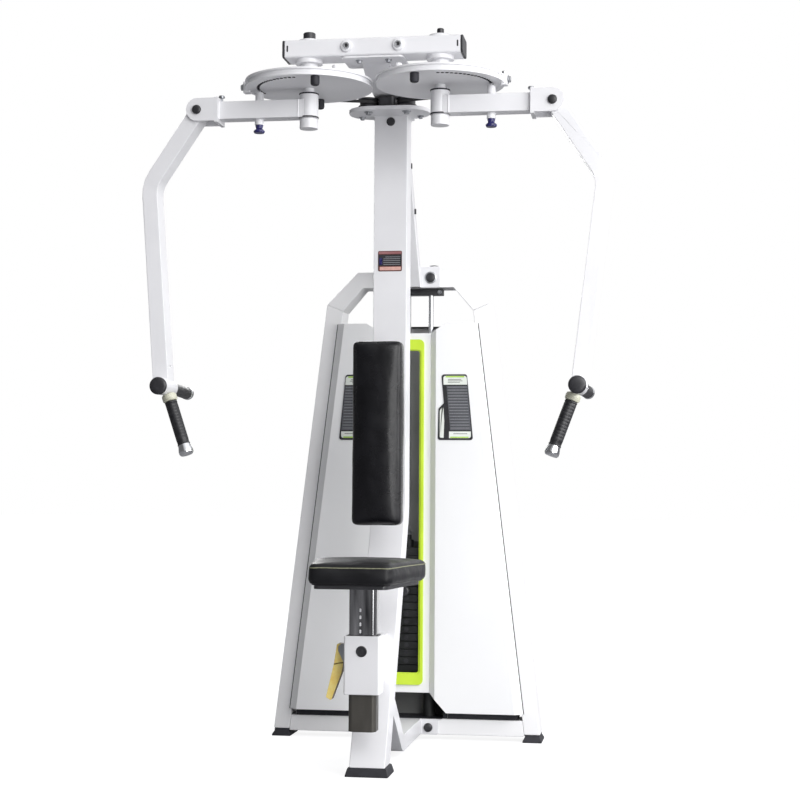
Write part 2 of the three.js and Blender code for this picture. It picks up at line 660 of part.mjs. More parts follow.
// Ears beside the sleeve that carry the release lever's pin.
function leverBracket() {
  const ear = (y0, y1) => prism('XZ', [
    [-sleeve.half - gap, 368], [-62, 368, 5], [-72, 362, 5], [-72, 348, 5], [-sleeve.half - gap, 300],
  ], y0, y1);
  return ear(-340, -334.6)
    .add(ear(-303.4, -298))
    .add(box(-sleeve.half - 3.5, -sleeve.half - gap, -340, -298, 300, 368))
    .add(bar([-64, -340, 356], [-64, -298, 356], 5, 16));
}

// ---------------------------------------------------------------- backrest
function backrestPad() {
  const outline = (inset) => rectangle(
    -pad.half + inset, pad.half - inset, pad.bottom + inset, pad.top - inset, 13 - inset);
  return cushion(outline, [[0, 9], [4, 3], [12, 0], [50, 0], [57, 3], [62, 9]])
    .rotate([90, 0, 0])
    .translate([0, pad.back, 0]);
}

function backrestBracket() {
  const board = prism('XZ', rectangle(-60, 60, pad.bottom + 16, pad.top - 16, 16),
    pad.back + gap, pad.back + 12);
  const stand = (z) => box(-30, 30, pad.back + 10, mast.front - 6, z - 30, z + 30)
    .subtract(box(-26, 26, pad.back - 20, mast.front + 5, z - 26, z + 26))
    .add(box(-42, 42, mast.front - 8, mast.front - gap, z - 46, z + 46)
      .subtract(box(-26, 26, mast.front - 20, mast.front + 5, z - 26, z + 26)));
  return board.add(stand(820)).add(stand(1080));
}

// ---------------------------------------------------------------- assembly
const finishes = {
  white: { color: '#eff0f3', roughness: 0.4, metalness: 0.0 },
  cover: { color: '#f3f3f6', roughness: 0.45, metalness: 0.0 },
  rubber: { color: '#17171c', roughness: 0.75, metalness: 0.0 },
  black: { color: '#1a1a1e', roughness: 0.5, metalness: 0.0 },
  leather: { color: '#1c1d20', roughness: 0.45, metalness: 0.0 },
  chrome: { color: '#d8dade', roughness: 0.12, metalness: 1.0 },
  steel: { color: '#4a4d52', roughness: 0.5, metalness: 0.7 },
  lime: { color: '#a6dd2b', roughness: 0.4, metalness: 0.0 },
  placard: { color: '#606269', roughness: 0.5, metalness: 0.0 },
  yellow: { color: '#e0b53c', roughness: 0.4, metalness: 0.0 },
  indigo: { color: '#2a2a66', roughness: 0.35, metalness: 0.0 },
};

const machine = new THREE.Group();
machine.name = 'pec_deck';

function part(name, body, finish) {
  const raw = body.getMesh();
  const geometry = new THREE.BufferGeometry();
  geometry.setAttribute('position', new THREE.BufferAttribute(new Float32Array(raw.vertProperties), 3));
  geometry.setIndex(new THREE.BufferAttribute(new Uint32Array(raw.triVerts), 1));
  const faceted = geometry.toNonIndexed();
  faceted.computeVertexNormals();
  const mesh = new THREE.Mesh(faceted, new THREE.MeshStandardMaterial(finishes[finish]));
  mesh.name = name;
  machine.add(mesh);
}

// Right-hand body and its mirror image.
function pair(name, body, finish) {
  part(`${name}_right`, body, finish);
  part(`${name}_left`, mirrored(body), finish);
}

part('mast_tube', mastTube(), 'white');
part('mast_flange', mastFlange(), 'white');
part('front_foot', frontFoot(), 'rubber');
part('base_brace', baseBrace(), 'white');
pair('tower_leg', towerLeg(), 'white');
part('tower_top_bar', towerTopBar(), 'white');
part('tower_base_bar', towerBaseBar(), 'white');
pair('tower_foot', towerFoot(), 'rubber');
pair('front_panel', frontPanel(), 'cover');
part('window_surround', windowSurround(), 'cover');
part('window_frame', windowFrame(), 'lime');
part('rear_cover', rearCover(), 'cover');
pair('placard', placard(), 'placard');
pair('guide_rod', guideRod(), 'chrome');
part('stack_base', stackBase(), 'rubber');
part('resting_plates', plates(0, stack.resting), 'steel');
part('lifted_plates', liftedPlates(), 'steel');
part('stack_top_plate', stackTopPlate(), 'steel');
part('selector_pin', selectorPin(), 'black');
part('lift_cable', liftCable(), 'black');
part('tower_pulley', towerPulley(), 'black');
part('pulley_bracket', pulleyBracket(), 'white');
part('rear_stay', rearStay(), 'white');
part('neck', neck(), 'white');
part('crossbeam', crossbeam(), 'white');
pair('beam_cap', beamCap(), 'black');
part('pivot_cap_left', pivotCap(-pivot.x, 17.5, collarHigh), 'black');
part('pivot_cap_right', pivotCap(pivot.x, 10, domeHigh), 'black');
pair('idler', idler(), 'black');
pair('cam_disc', camDisc(), 'white');
pair('arm_tube', armTube(), 'white');
pair('pop_pin', popPin(), 'indigo');
pair('lever_tube', leverTube(), 'white');
pair('rear_grip', rearGrip(), 'rubber');
pair('rear_grip_cap', rearGripCap(), 'chrome');
pair('hanging_grip', hangingGrip(), 'rubber');
pair('hanging_grip_cap', hangingGripCap(), 'chrome');
part('seat_sleeve', seatSleeve(), 'white');
part('seat_post', seatPost(), 'chrome');
part('seat_plate', seatPlate(), 'black');
part('seat_pad', seatPad(), 'leather');
part('seat_lever', seatLever(), 'yellow');
part('lever_bracket', leverBracket(), 'white');
part('backrest_pad', backrestPad(), 'leather');
part('backrest_bracket', backrestBracket(), 'white');

export default machine;
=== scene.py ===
"""Looks of a pec deck machine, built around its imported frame.

All lengths are in metres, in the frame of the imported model: X to the right, Y to the rear, Z up.
"""
import math

import bmesh
import bpy
from mathutils import Matrix, Vector, noise
from mathutils.bvhtree import BVHTree


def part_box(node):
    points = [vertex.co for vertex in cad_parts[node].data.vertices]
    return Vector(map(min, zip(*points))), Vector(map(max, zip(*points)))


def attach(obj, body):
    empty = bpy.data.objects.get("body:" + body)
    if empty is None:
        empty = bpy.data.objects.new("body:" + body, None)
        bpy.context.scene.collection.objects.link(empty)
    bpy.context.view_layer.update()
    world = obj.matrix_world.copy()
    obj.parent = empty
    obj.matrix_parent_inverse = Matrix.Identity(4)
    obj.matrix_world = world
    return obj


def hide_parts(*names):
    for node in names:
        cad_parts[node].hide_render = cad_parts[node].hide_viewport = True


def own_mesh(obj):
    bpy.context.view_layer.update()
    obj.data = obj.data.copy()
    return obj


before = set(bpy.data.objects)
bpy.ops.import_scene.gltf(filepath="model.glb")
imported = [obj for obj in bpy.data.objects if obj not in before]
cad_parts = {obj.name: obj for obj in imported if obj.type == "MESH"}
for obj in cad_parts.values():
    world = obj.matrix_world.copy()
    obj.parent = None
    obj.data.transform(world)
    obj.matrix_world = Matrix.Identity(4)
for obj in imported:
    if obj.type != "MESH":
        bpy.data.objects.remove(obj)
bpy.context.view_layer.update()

SIDES = (("left", -1), ("right", 1))
MM = 0.001


def at(*sizes):
    """A point in metres, from sizes in millimetres."""
    return tuple(size * MM for size in sizes)


def mm(points):
    """Points in metres, from points in millimetres."""
    return [at(*point) for point in points]


# Heights and places that the trim is set out from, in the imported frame.
BEAM_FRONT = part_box("crossbeam")[0].y
BEAM_MID_Z = 2029 * MM
MAST_FRONT = 52 * MM
MAST_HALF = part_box("mast_tube")[1].x
FLANGE_LOW, FLANGE_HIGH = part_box("mast_flange")
DISC_TOP = 1944 * MM
DISC_BOTTOM = 1922 * MM
DISC_MID = (DISC_TOP + DISC_BOTTOM) / 2
PIVOT_X = 188 * MM
PIVOT_Y = -240 * MM
ARM_Z = 1864 * MM
STACK_Y = 455 * MM
PLATE_PITCH = 24.6 * MM
IDLER = Vector(at(57, -8, 1928.8))
IDLER_WRAP = 27.4 * MM
DISC_WRAP = 177.4 * MM
HOLE_CIRCLE = 144 * MM
HANDLE = Vector(at(579, -312.5, 1072))
SEAT_FRONT_HALF = 110 * MM
SEAT_BACK_HALF = 163 * MM
PLACARD_FACE = 375 * MM
SEAT_CROWN = 7 * MM
BACK_CROWN = 12 * MM
BACK_SINK = 4 * MM
CROWN_START = 0.6               # share of a pad's thickness where its crown begins

SHARP_ANGLE = 38                # degrees; edges that bend more stay sharp
JOIN_DISTANCE = 0.02 * MM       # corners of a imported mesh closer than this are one


# ---------------------------------------------------------------- meshes
def stations(path, up, closed):
    """Each point of a path with its sideways and upward directions."""
    for i, point in enumerate(path):
        after = path[(i + 1) % len(path)] if closed or i + 1 < len(path) else point
        before = path[i - 1] if closed or i > 0 else point
        tangent = (after - before).normalized()
        side = tangent.cross(Vector(up)).normalized()
        yield point, side, side.cross(tangent)


class Shape:
    """Faces gathered for one piece."""

    def __init__(self):
        self.points = []
        self.faces = []

    def rings(self, rings, closed=False):
        """Skins rings of points one after another; a ring of one point is a tip."""
        starts = []
        for ring in rings:
            starts.append((len(self.points), len(ring)))
            self.points += [Vector(point) for point in ring]
        pairs = list(zip(starts, starts[1:] + starts[:1] if closed else starts[1:]))
        for (a, a_count), (b, b_count) in pairs:
            for i in range(max(a_count, b_count)):
                lower = [a + i, a + (i + 1) % a_count] if a_count > 1 else [a]
                upper = [b + (i + 1) % b_count, b + i] if b_count > 1 else [b]
                self.faces.append(lower + upper)
        if not closed:
            for start, count in (starts[0], starts[-1]):
                if count > 2:
                    self.faces.append(list(range(start, start + count)))
        return self

    def turned(self, profile, centre, axis=(0, 0, 1), sides=28, hollow=False):
        """Turns (radius, distance) pairs, in millimetres, about the axis; hollow joins last to first."""
        basis = Vector(axis).to_track_quat("Z", "Y").to_matrix()
        rings = []
        for radius, along in mm(profile):
            ring = []
            for k in range(1 if radius == 0 else sides):
                angle = math.tau * (k + 0.5) / sides
                local = Vector((radius * math.cos(angle), radius * math.sin(angle), along))
                ring.append(Vector(centre) + basis @ local)
            rings.append(ring)
        return self.rings(rings, hollow)

    def prism(self, outline, low, high, plane="XY"):
        """A flat outline pushed from low to high across its plane."""
        place = {
            "XY": lambda a, b, c: (a, b, c),
            "XZ": lambda a, b, c: (a, c, b),
            "YZ": lambda a, b, c: (c, a, b),
        }[plane]
        return self.rings([[place(a, b, level) for a, b in outline] for level in (low, high)])

    def block(self, low, high):
        (x0, y0, z0), (x1, y1, z1) = low, high
        return self.prism([(x0, y0), (x1, y0), (x1, y1), (x0, y1)], z0, z1)

    def swept(self, path, section, up=(0, 0, 1), closed=False):
        """A section of (sideways, upward) points carried along a path."""
        path = [Vector(point) for point in path]
        return self.rings([[point + side * a + over * b for a, b in section]
                           for point, side, over in stations(path, up, closed)], closed)

    def stacked(self, levels, closed=False):
        """Skins (outline, height) pairs one after another."""
        return self.rings([[(x, y, z) for x, y in outline] for outline, z in levels], closed)

    def piece(self, name, material, body, slot, bevel=0.0, angle=SHARP_ANGLE):
        """Makes the object, gives it its material and lets it ride on its body."""
        mesh = bpy.data.meshes.new(name)
        mesh.from_pydata(self.points, [], self.faces)
        return finished(name, mesh, material, body, bevel, angle)


def placed(name, data):
    """A new object in the scene, from a mesh, a light or a camera."""
    made = bpy.data.objects.new(name, data)
    bpy.context.scene.collection.objects.link(made)
    return made


def finished(name, mesh, material, body, bevel=0.0, angle=SHARP_ANGLE):
    """An object from a mesh, with outward faces, soft edges, a material and a body."""
    work = bmesh.new()
    work.from_mesh(mesh)
    bmesh.ops.recalc_face_normals(work, faces=work.faces)
    work.to_mesh(mesh)
    work.free()
    mesh.materials.clear()
    mesh.materials.append(material)
    made = placed(name, mesh)
    soften(made, bevel, angle)
    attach(made, body)
    return made


def circle(radius, sides=10):
    return [(radius * math.cos(math.tau * k / sides), radius * math.sin(math.tau * k / sides))
            for k in range(sides)]


def rounded(x0, x1, y0, y1, radius, steps=5):
    """Outline of a rectangle with round corners."""
    corners = [(x1 - radius, y0 + radius, -90), (x1 - radius, y1 - radius, 0),
               (x0 + radius, y1 - radius, 90), (x0 + radius, y0 + radius, 180)]
    outline = []
    for cx, cy, start in corners:
        for k in range(steps + 1):
            angle = math.radians(start + 90 * k / steps)
            outline.append((cx + radius * math.cos(angle), cy + radius * math.sin(angle)))
    return outline


def rounded_mm(*sizes, steps=5):
    """Outline of a rectangle with round corners, from sizes in millimetres."""
    return rounded(*(size * MM for size in sizes), steps)


def smooth_by_angle_group():
    """A node group that shades a mesh smooth, except across edges sharper than its angle."""
    group = bpy.data.node_groups.new("smooth_by_angle", "GeometryNodeTree")
    group.interface.new_socket("Geometry", in_out="INPUT", socket_type="NodeSocketGeometry")
    group.interface.new_socket("Angle", in_out="INPUT", socket_type="NodeSocketFloat")
    group.interface.new_socket("Geometry", in_out="OUTPUT", socket_type="NodeSocketGeometry")
    nodes, links = group.nodes, group.links
    entry = nodes.new("NodeGroupInput")
    leave = nodes.new("NodeGroupOutput")
    bend = nodes.new("GeometryNodeInputMeshEdgeAngle")
    under = nodes.new("FunctionNodeCompare")
    under.data_type = "FLOAT"
    under.operation = "LESS_THAN"
    edges = nodes.new("GeometryNodeSetShadeSmooth")
    edges.domain = "EDGE"
    faces = nodes.new("GeometryNodeSetShadeSmooth")
    faces.domain = "FACE"
    links.new(bend.outputs["Unsigned Angle"], under.inputs[0])
    links.new(entry.outputs["Angle"], under.inputs[1])
    links.new(entry.outputs["Geometry"], edges.inputs["Geometry"])
    links.new(under.outputs["Result"], edges.inputs["Shade Smooth"])
    links.new(edges.outputs["Geometry"], faces.inputs["Geometry"])
    links.new(faces.outputs["Geometry"], leave.inputs["Geometry"])
    return group


SMOOTH_BY_ANGLE = smooth_by_angle_group()


def soften(piece, bevel, angle=SHARP_ANGLE):
    """Rounds the edges by the bevel's width and shades the rest smooth up to the angle."""
    if bevel:
        rounder = piece.modifiers.new("rounded_edges", "BEVEL")
        rounder.width = bevel
        rounder.segments = 2
        rounder.limit_method = "ANGLE"
        rounder.angle_limit = math.radians(angle)
        rounder.use_clamp_overlap = False
        rounder.miter_outer = "MITER_ARC"
    shader = piece.modifiers.new("smooth_shading", "NODES")
    shader.node_group = SMOOTH_BY_ANGLE
    shader["Socket_1"] = math.radians(angle)
    if bevel:
        weighted = piece.modifiers.new("even_normals", "WEIGHTED_NORMAL")
        weighted.keep_sharp = True


# ---------------------------------------------------------------- materials
def mixed(nodes, links, factor, dark, light):
    """A colour that moves with the factor from dark to light; light may be a node's output."""
    blend = nodes.new("ShaderNodeMix")
    blend.data_type = "RGBA"
    blend.inputs["A"].default_value = (*dark, 1)
    if isinstance(light, tuple):
        blend.inputs["B"].default_value = (*light, 1)
    else:
        links.new(light, blend.inputs["B"])
    links.new(factor, blend.inputs["Factor"])
    return blend.outputs["Result"]


def calculated(nodes, links, operation, source, second=None, third=None):
    """A math node's result, from an output, a number and another output."""
    step = nodes.new("ShaderNodeMath")
    step.operation = operation
    links.new(source, step.inputs[0])
    if second is not None:
        step.inputs[1].default_value = second
    if third is not None:
        links.new(third, step.inputs[2])
    return step.outputs["Value"]


def shown_to_camera(nodes, links, unseen, seen):
    """A shader that the camera sees as one thing and the light meets as another."""
    path = nodes.new("ShaderNodeLightPath")
    mix = nodes.new("ShaderNodeMixShader")
    links.new(path.outputs["Is Camera Ray"], mix.inputs["Fac"])
    links.new(unseen, mix.inputs[1])
    links.new(seen, mix.inputs[2])
    return mix.outputs["Shader"]


def pattern(nodes, links, kind, stretch=(1, 1, 1), **values):
    """A texture node over the object's own space, stretched along its axes."""
    place = nodes.new("ShaderNodeTexCoord")
    scale = nodes.new("ShaderNodeMapping")
    scale.inputs["Scale"].default_value = stretch
    links.new(place.outputs["Object"], scale.inputs["Vector"])
    texture = nodes.new(kind)
    links.new(scale.outputs["Vector"], texture.inputs["Vector"])
    for socket, value in values.items():
        texture.inputs[socket].default_value = value
    return texture


def ranged(nodes, links, source, low, high, from_low=0.3, from_high=0.7):
    """The source's middle range spread from low to high."""
    spread = nodes.new("ShaderNodeMapRange")
    spread.inputs["From Min"].default_value = from_low
    spread.inputs["From Max"].default_value = from_high
    spread.inputs["To Min"].default_value = low
    spread.inputs["To Max"].default_value = high
    links.new(source, spread.inputs["Value"])
    return spread.outputs["Result"]


def surface(name, dark, light, rough, metallic=0.0, coat=0.0, patch=60.0, grain=1200.0, depth=0.00004,
            stretch=(1, 1, 1), extra=None, shine=0.5):
    """A finish with patchy colour, patchy roughness and a fine grain in its bump.

    rough is the (smoothest, roughest) pair; extra adds a height of its own to the bump.
    """
    made = bpy.data.materials.new(name)
    made.use_nodes = True
    nodes, links = made.node_tree.nodes, made.node_tree.links
    shader = nodes["Principled BSDF"]
    shader.inputs["Metallic"].default_value = metallic
    shader.inputs["Coat Weight"].default_value = coat
    shader.inputs["Coat Roughness"].default_value = 0.12
    shader.inputs["Specular IOR Level"].default_value = shine
    patches = pattern(nodes, links, "ShaderNodeTexNoise", stretch, Scale=patch, Detail=4.0)
    share = ranged(nodes, links, patches.outputs["Fac"], 0, 1)
    links.new(mixed(nodes, links, share, dark, light), shader.inputs["Base Color"])
    links.new(ranged(nodes, links, patches.outputs["Fac"], *rough), shader.inputs["Roughness"])
    fine = pattern(nodes, links, "ShaderNodeTexNoise", stretch, Scale=grain, Detail=2.0)
    height = fine.outputs["Fac"]
    if extra:
        height = extra(nodes, links, height)
    bump = nodes.new("ShaderNodeBump")
    bump.inputs["Strength"].default_value = 1.0
    bump.inputs["Distance"].default_value = depth
    links.new(height, bump.inputs["Height"])
    links.new(bump.outputs["Normal"], shader.inputs["Normal"])
    made.diffuse_color = (*light, 1)
    return made


def leather_height(nodes, links, height):
    """Pebbled cells with soft creases between them, over the fine grain."""
    cells = pattern(nodes, links, "ShaderNodeTexVoronoi", Scale=520.0)
    cells.feature = "SMOOTH_F1"
    creases = pattern(nodes, links, "ShaderNodeTexNoise", Scale=70.0, Detail=5.0)
    pebbled = calculated(nodes, links, "MULTIPLY_ADD", cells.outputs["Distance"], 2.2, height)
    return calculated(nodes, links, "MULTIPLY_ADD", creases.outputs["Fac"], 3.0, pebbled)


def strand_height(nodes, links, height):
    """Slanting ribs of twisted wire, over the fine grain."""
    ribs = pattern(nodes, links, "ShaderNodeTexWave", Scale=130.0)
    ribs.bands_direction = "DIAGONAL"
    return calculated(nodes, links, "MULTIPLY_ADD", ribs.outputs["Fac"], 3.0, height)


# Dimmed copy of the white: painted shade on the mast, levers, beam, discs and arms.
WHITE = surface("white_powder_coat_dimmed_as_shade", (0.74, 0.74, 0.76), (0.80, 0.80, 0.82), (0.34, 0.46), coat=0.25,
                patch=5.0, grain=650.0, depth=0.00003)
# Brightened copy of the same white: painted light on the tower.
TOWER_WHITE = surface("white_tower_coat_brightened_as_light", (0.91, 0.91, 0.92), (0.95, 0.95, 0.955), (0.36, 0.48),
                      coat=0.2, patch=5.0, grain=650.0, depth=0.00003)
# Brightened copy of the white for the covers: painted light.
COVER = surface("white_cover_paint_brightened_as_light", (0.885, 0.89, 0.90), (0.925, 0.93, 0.935), (0.38, 0.50), coat=0.15,
                patch=3.0, grain=520.0, depth=0.00003)
RUBBER = surface("black_rubber", (0.010, 0.010, 0.014), (0.026, 0.026, 0.034), (0.55, 0.75),
                 grain=1500.0, depth=0.00008)
GRIP = surface("grip_rubber", (0.007, 0.007, 0.009), (0.018, 0.018, 0.021), (0.34, 0.50), patch=90.0,
               grain=1300.0, depth=0.00010)
PLASTIC = surface("black_plastic", (0.014, 0.014, 0.017), (0.030, 0.030, 0.034), (0.28, 0.42),
                  patch=40.0, grain=1100.0, depth=0.00005)
PAINT_BLACK = surface("black_paint", (0.012, 0.012, 0.015), (0.028, 0.028, 0.032), (0.30, 0.45),
                      coat=0.3, patch=12.0, grain=700.0)
LEATHER = surface("black_leather", (0.003, 0.003, 0.004), (0.008, 0.008, 0.010), (0.33, 0.46), coat=0.03,
                  patch=16.0, grain=1600.0, depth=0.00010, extra=leather_height, shine=0.34)
BACK_LEATHER = surface("polished_leather", (0.0025, 0.0025, 0.0035), (0.006, 0.006, 0.008), (0.22, 0.33),
                       coat=0.05, patch=16.0, grain=1600.0, depth=0.00009, extra=leather_height,
                       shine=0.34)
PIPING = surface("sand_piping", (0.17, 0.175, 0.11), (0.27, 0.275, 0.18), (0.5, 0.7), patch=120.0,
                 grain=2600.0, depth=0.00008)
CHROME = surface("polished_chrome", (0.66, 0.67, 0.69), (0.80, 0.81, 0.83), (0.05, 0.12), metallic=1.0,
                 patch=20.0, grain=300.0, depth=0.00001)
# Chrome whose colour swings from dark to light in tall streaks: painted reflections.
POST_CHROME_PAINTED_REFLECTIONS = surface("post_chrome_painted_reflections", (0.10, 0.10, 0.105), (0.66, 0.66, 0.67), (0.07, 0.16), metallic=1.0,
                      patch=42.0, grain=16.0, depth=0.0022, stretch=(1, 1, 0.09))
CREAM = surface("cream_plastic", (0.46, 0.46, 0.36), (0.60, 0.60, 0.49), (0.35, 0.5), coat=0.2)
BARE_STEEL = surface("brushed_steel", (0.30, 0.31, 0.33), (0.48, 0.49, 0.51), (0.24, 0.40), metallic=1.0,
                     grain=900.0, stretch=(1, 1, 0.08))
STACK_STEEL = surface("stack_paint", (0.008, 0.009, 0.009), (0.022, 0.023, 0.024), (0.36, 0.55),
                      metallic=0.2, patch=18.0, grain=900.0, depth=0.00007)
LIME = surface("lime_plastic", (0.55, 0.76, 0.030), (0.66, 0.88, 0.055), (0.32, 0.44), coat=0.2,
               patch=8.0, grain=900.0)
# Yellow lifted above the paint's own colour, as painted light on a lever that sits in shade.
YELLOW = surface("yellow_paint", (0.97, 0.71, 0.18), (1.00, 0.84, 0.30), (0.30, 0.44), coat=0.3,
                 patch=70.0, grain=800.0)
# Brown for the painted shade along the lever's fold.
FOLD_SHADE_BROWN = surface("fold_shade_brown", (0.10, 0.055, 0.010), (0.20, 0.12, 0.025), (0.5, 0.7), patch=120.0,
                 grain=900.0)
INDIGO = surface("indigo_plastic", (0.012, 0.011, 0.075), (0.030, 0.027, 0.160), (0.22, 0.36), coat=0.3,
                 grain=900.0)
BELT = surface("belt_rubber", (0.008, 0.008, 0.009), (0.022, 0.022, 0.024), (0.55, 0.75), patch=80.0,
               grain=1600.0, depth=0.0001)
CABLE = surface("steel_cable", (0.20, 0.20, 0.21), (0.42, 0.42, 0.43), (0.30, 0.45), metallic=0.9,
                patch=500.0, depth=0.0001, extra=strand_height)
# A darker, duller tone for the lower end of the seat post.
POST_LOWER_TONE = surface("post_steel", (0.075, 0.070, 0.062), (0.110, 0.104, 0.093), (0.30, 0.45),
                     metallic=0.6, patch=25.0, grain=900.0, stretch=(1, 1, 0.2))
LINER = surface("liner_steel", (0.115, 0.118, 0.116), (0.185, 0.188, 0.184), (0.45, 0.6), patch=6.0,
                grain=600.0)
GALVANISED = surface("galvanised_liner", (0.34, 0.345, 0.34), (0.46, 0.465, 0.46), (0.45, 0.6),
                     patch=6.0, grain=600.0)
PLACARD_GREY = surface("placard_grey", (0.095, 0.098, 0.112), (0.120, 0.124, 0.138), (0.35, 0.5),
                       patch=25.0)
PLACARD_LINE = surface("placard_line", (0.24, 0.25, 0.27), (0.34, 0.35, 0.37), (0.4, 0.5), patch=200.0)
PLACARD_PALE = surface("placard_pale", (0.74, 0.78, 0.72), (0.84, 0.87, 0.83), (0.4, 0.5), patch=20.0)
PLACARD_GREEN = surface("placard_green", (0.36, 0.62, 0.06), (0.48, 0.74, 0.12), (0.4, 0.5), patch=20.0)
SALMON = surface("salmon_enamel", (0.56, 0.30, 0.26), (0.72, 0.44, 0.38), (0.4, 0.55))
DUSTY_ROSE = surface("dusty_rose_enamel", (0.26, 0.10, 0.10), (0.36, 0.16, 0.16), (0.4, 0.55))
MAROON = surface("maroon_enamel", (0.070, 0.014, 0.012), (0.120, 0.030, 0.026), (0.4, 0.55))


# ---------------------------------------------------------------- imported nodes
def both(stem):
    return [f"{stem}_left", f"{stem}_right"]


def dress(names, material, bevel=0.0, angle=SHARP_ANGLE):
    """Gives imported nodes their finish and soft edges; their meshes stay as they are."""
    for name in names:
        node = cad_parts[name]
        for slot in node.material_slots:
            slot.material = material
        joined = node.modifiers.new("joined_corners", "WELD")
        joined.merge_threshold = JOIN_DISTANCE
        whole = node.modifiers.new("whole_faces", "DECIMATE")
        whole.decimate_type = "DISSOLVE"
        whole.angle_limit = math.radians(0.3)
        soften(node, bevel, angle)


def dress_frame():
    dress(["mast_tube", "base_brace", "rear_stay", "seat_sleeve"] + both("lever_tube"), WHITE, 2.5 * MM)
    dress(["tower_top_bar", "tower_base_bar"] + both("tower_leg"), TOWER_WHITE, 2.5 * MM)
    dress(["mast_flange", "neck", "crossbeam", "pulley_bracket"], WHITE, 1.5 * MM)
    dress(both("cam_disc") + both("arm_tube"), WHITE, 0.8 * MM)
    dress(["window_surround", "rear_cover"] + both("front_panel"), COVER, 0.8 * MM, 20)
    dress(["backrest_bracket"], PAINT_BLACK, 1.0 * MM)
    dress(["seat_plate"], PAINT_BLACK, 1.5 * MM)
    dress(["front_foot"] + both("tower_foot"), RUBBER, 1.5 * MM)
    dress(both("beam_cap"), PLASTIC, 1.5 * MM)
    dress(both("pivot_cap"), PLASTIC, 0.8 * MM)
    dress(["window_frame"], LIME, 1.5 * MM)
    dress(both("placard"), PLASTIC, 0.4 * MM)
    dress(both("guide_rod"), CHROME)
    dress(["stack_base", "stack_top_plate"], STACK_STEEL, 1.5 * MM)
    dress(["selector_pin", "tower_pulley"] + both("idler"), PLASTIC, 0.6 * MM)
    dress(["lever_bracket"], BARE_STEEL, 0.8 * MM)
    dress(["seat_lever"], YELLOW_SIDE_SHADED, 1.0 * MM)
    dress(both("pop_pin"), INDIGO)
    dress(both("rear_grip_cap") + both("hanging_grip_cap"), CHROME)


def yellow_with_painted_side_shade():
    """Yellow paint on the broad faces of the lever, going brown on its narrow sides as painted shade."""
    made = YELLOW.copy()
    made.name = "yellow_with_painted_side_shade"
    nodes, links = made.node_tree.nodes, made.node_tree.links
    shader = nodes["Principled BSDF"]
    facing = nodes.new("ShaderNodeNewGeometry")
    parts = nodes.new("ShaderNodeSeparateXYZ")
    links.new(facing.outputs["Normal"], parts.inputs["Vector"])
    size = calculated(nodes, links, "ABSOLUTE", parts.outputs["Y"])
    # Faces that turn away from front and back go brown: painted shade on the narrow sides.
    share = ranged(nodes, links, size, 0, 1, 0.55, 0.95)
    paint = shader.inputs["Base Color"].links[0].from_socket
    links.new(mixed(nodes, links, share, (0.20, 0.11, 0.02), paint), shader.inputs["Base Color"])
    return made


YELLOW_SIDE_SHADED = yellow_with_painted_side_shade()


# ---------------------------------------------------------------- fixings
def hex_bolt(shape, centre, axis, head, washer):
    """A chamfered hex head on its washer, from their radii in millimetres."""
    shape.turned([(0, 0), (washer, 0), (washer, 1.6), (washer - 0.6, 2.2), (0, 2.2)],
                 centre, axis, 24)
    shape.turned([(0, 2), (head, 2), (head, 7.4), (head - 1.2, 8.6), (0, 8.6)], centre, axis, 6)


def cap_profile(radius, height):
    """A plastic cap, in millimetres: a straight rim that rolls over into a shallow dome."""
    return [(0, 0), (radius, 0), (radius, height * 0.45), (radius * 0.93, height * 0.72),
            (radius * 0.72, height * 0.92), (radius * 0.35, height), (0, height)]


def socket_bolt(name, centre, body):
    """A white collar round a bright socket screw, set in the front of the beam."""
    collar = Shape().turned([(0, 0), (16.5, 0), (16.5, 6), (14.5, 8), (0, 8)], centre, (0, -1, 0))
    collar.piece(f"{name}_collar", WHITE, body, "white_paint")
    x, y, z = centre
    proud = (x, y - 7 * MM, z)
    screw = Shape().turned([(0, 0), (10, 0), (10, 5), (9, 6.4), (5.6, 6.4), (5.2, 2), (0, 2)],
                           proud, (0, -1, 0), 24)
    screw.piece(f"{name}_screw", CHROME, body, "chrome")
    # The socket is a black hex on the screw head: painted shade in its recess.
    socket = Shape().turned([(0, 2), (5.1, 2), (5.1, 3.4), (0, 3.4)], proud, (0, -1, 0), 6)
    socket.piece(f"{name}_socket", PLASTIC, body, "black_plastic")


def beam_trim():
    """Screws and slots in the front of the beam, each slot a black patch of painted shade, and the bolts
    of the head plate.
    """
    for label, x in (("left", -71 * MM), ("right", 76 * MM)):
        socket_bolt(f"beam_bolt_{label}", (x, BEAM_FRONT, BEAM_MID_Z + 1 * MM), "frame")
    slots = Shape()
    for side in (-1, 1):
        outline = rounded(side * 242 * MM - 2.2 * MM, side * 242 * MM + 2.2 * MM,
                          BEAM_MID_Z - 9 * MM, BEAM_MID_Z + 9 * MM, 2 * MM, 3)
        slots.prism(outline, BEAM_FRONT - 0.4 * MM, BEAM_FRONT + 1 * MM, "XZ")
    slots.piece("beam_slot_shades", PLASTIC, "frame", "black_plastic")
    bolts = Shape()
    for x in (-42, 42):
        hex_bolt(bolts, at(x, -250, 1998), (0, 0, -1), 7, 10)
    bolts.piece("head_plate_bolts", BARE_STEEL, "frame", "chrome")


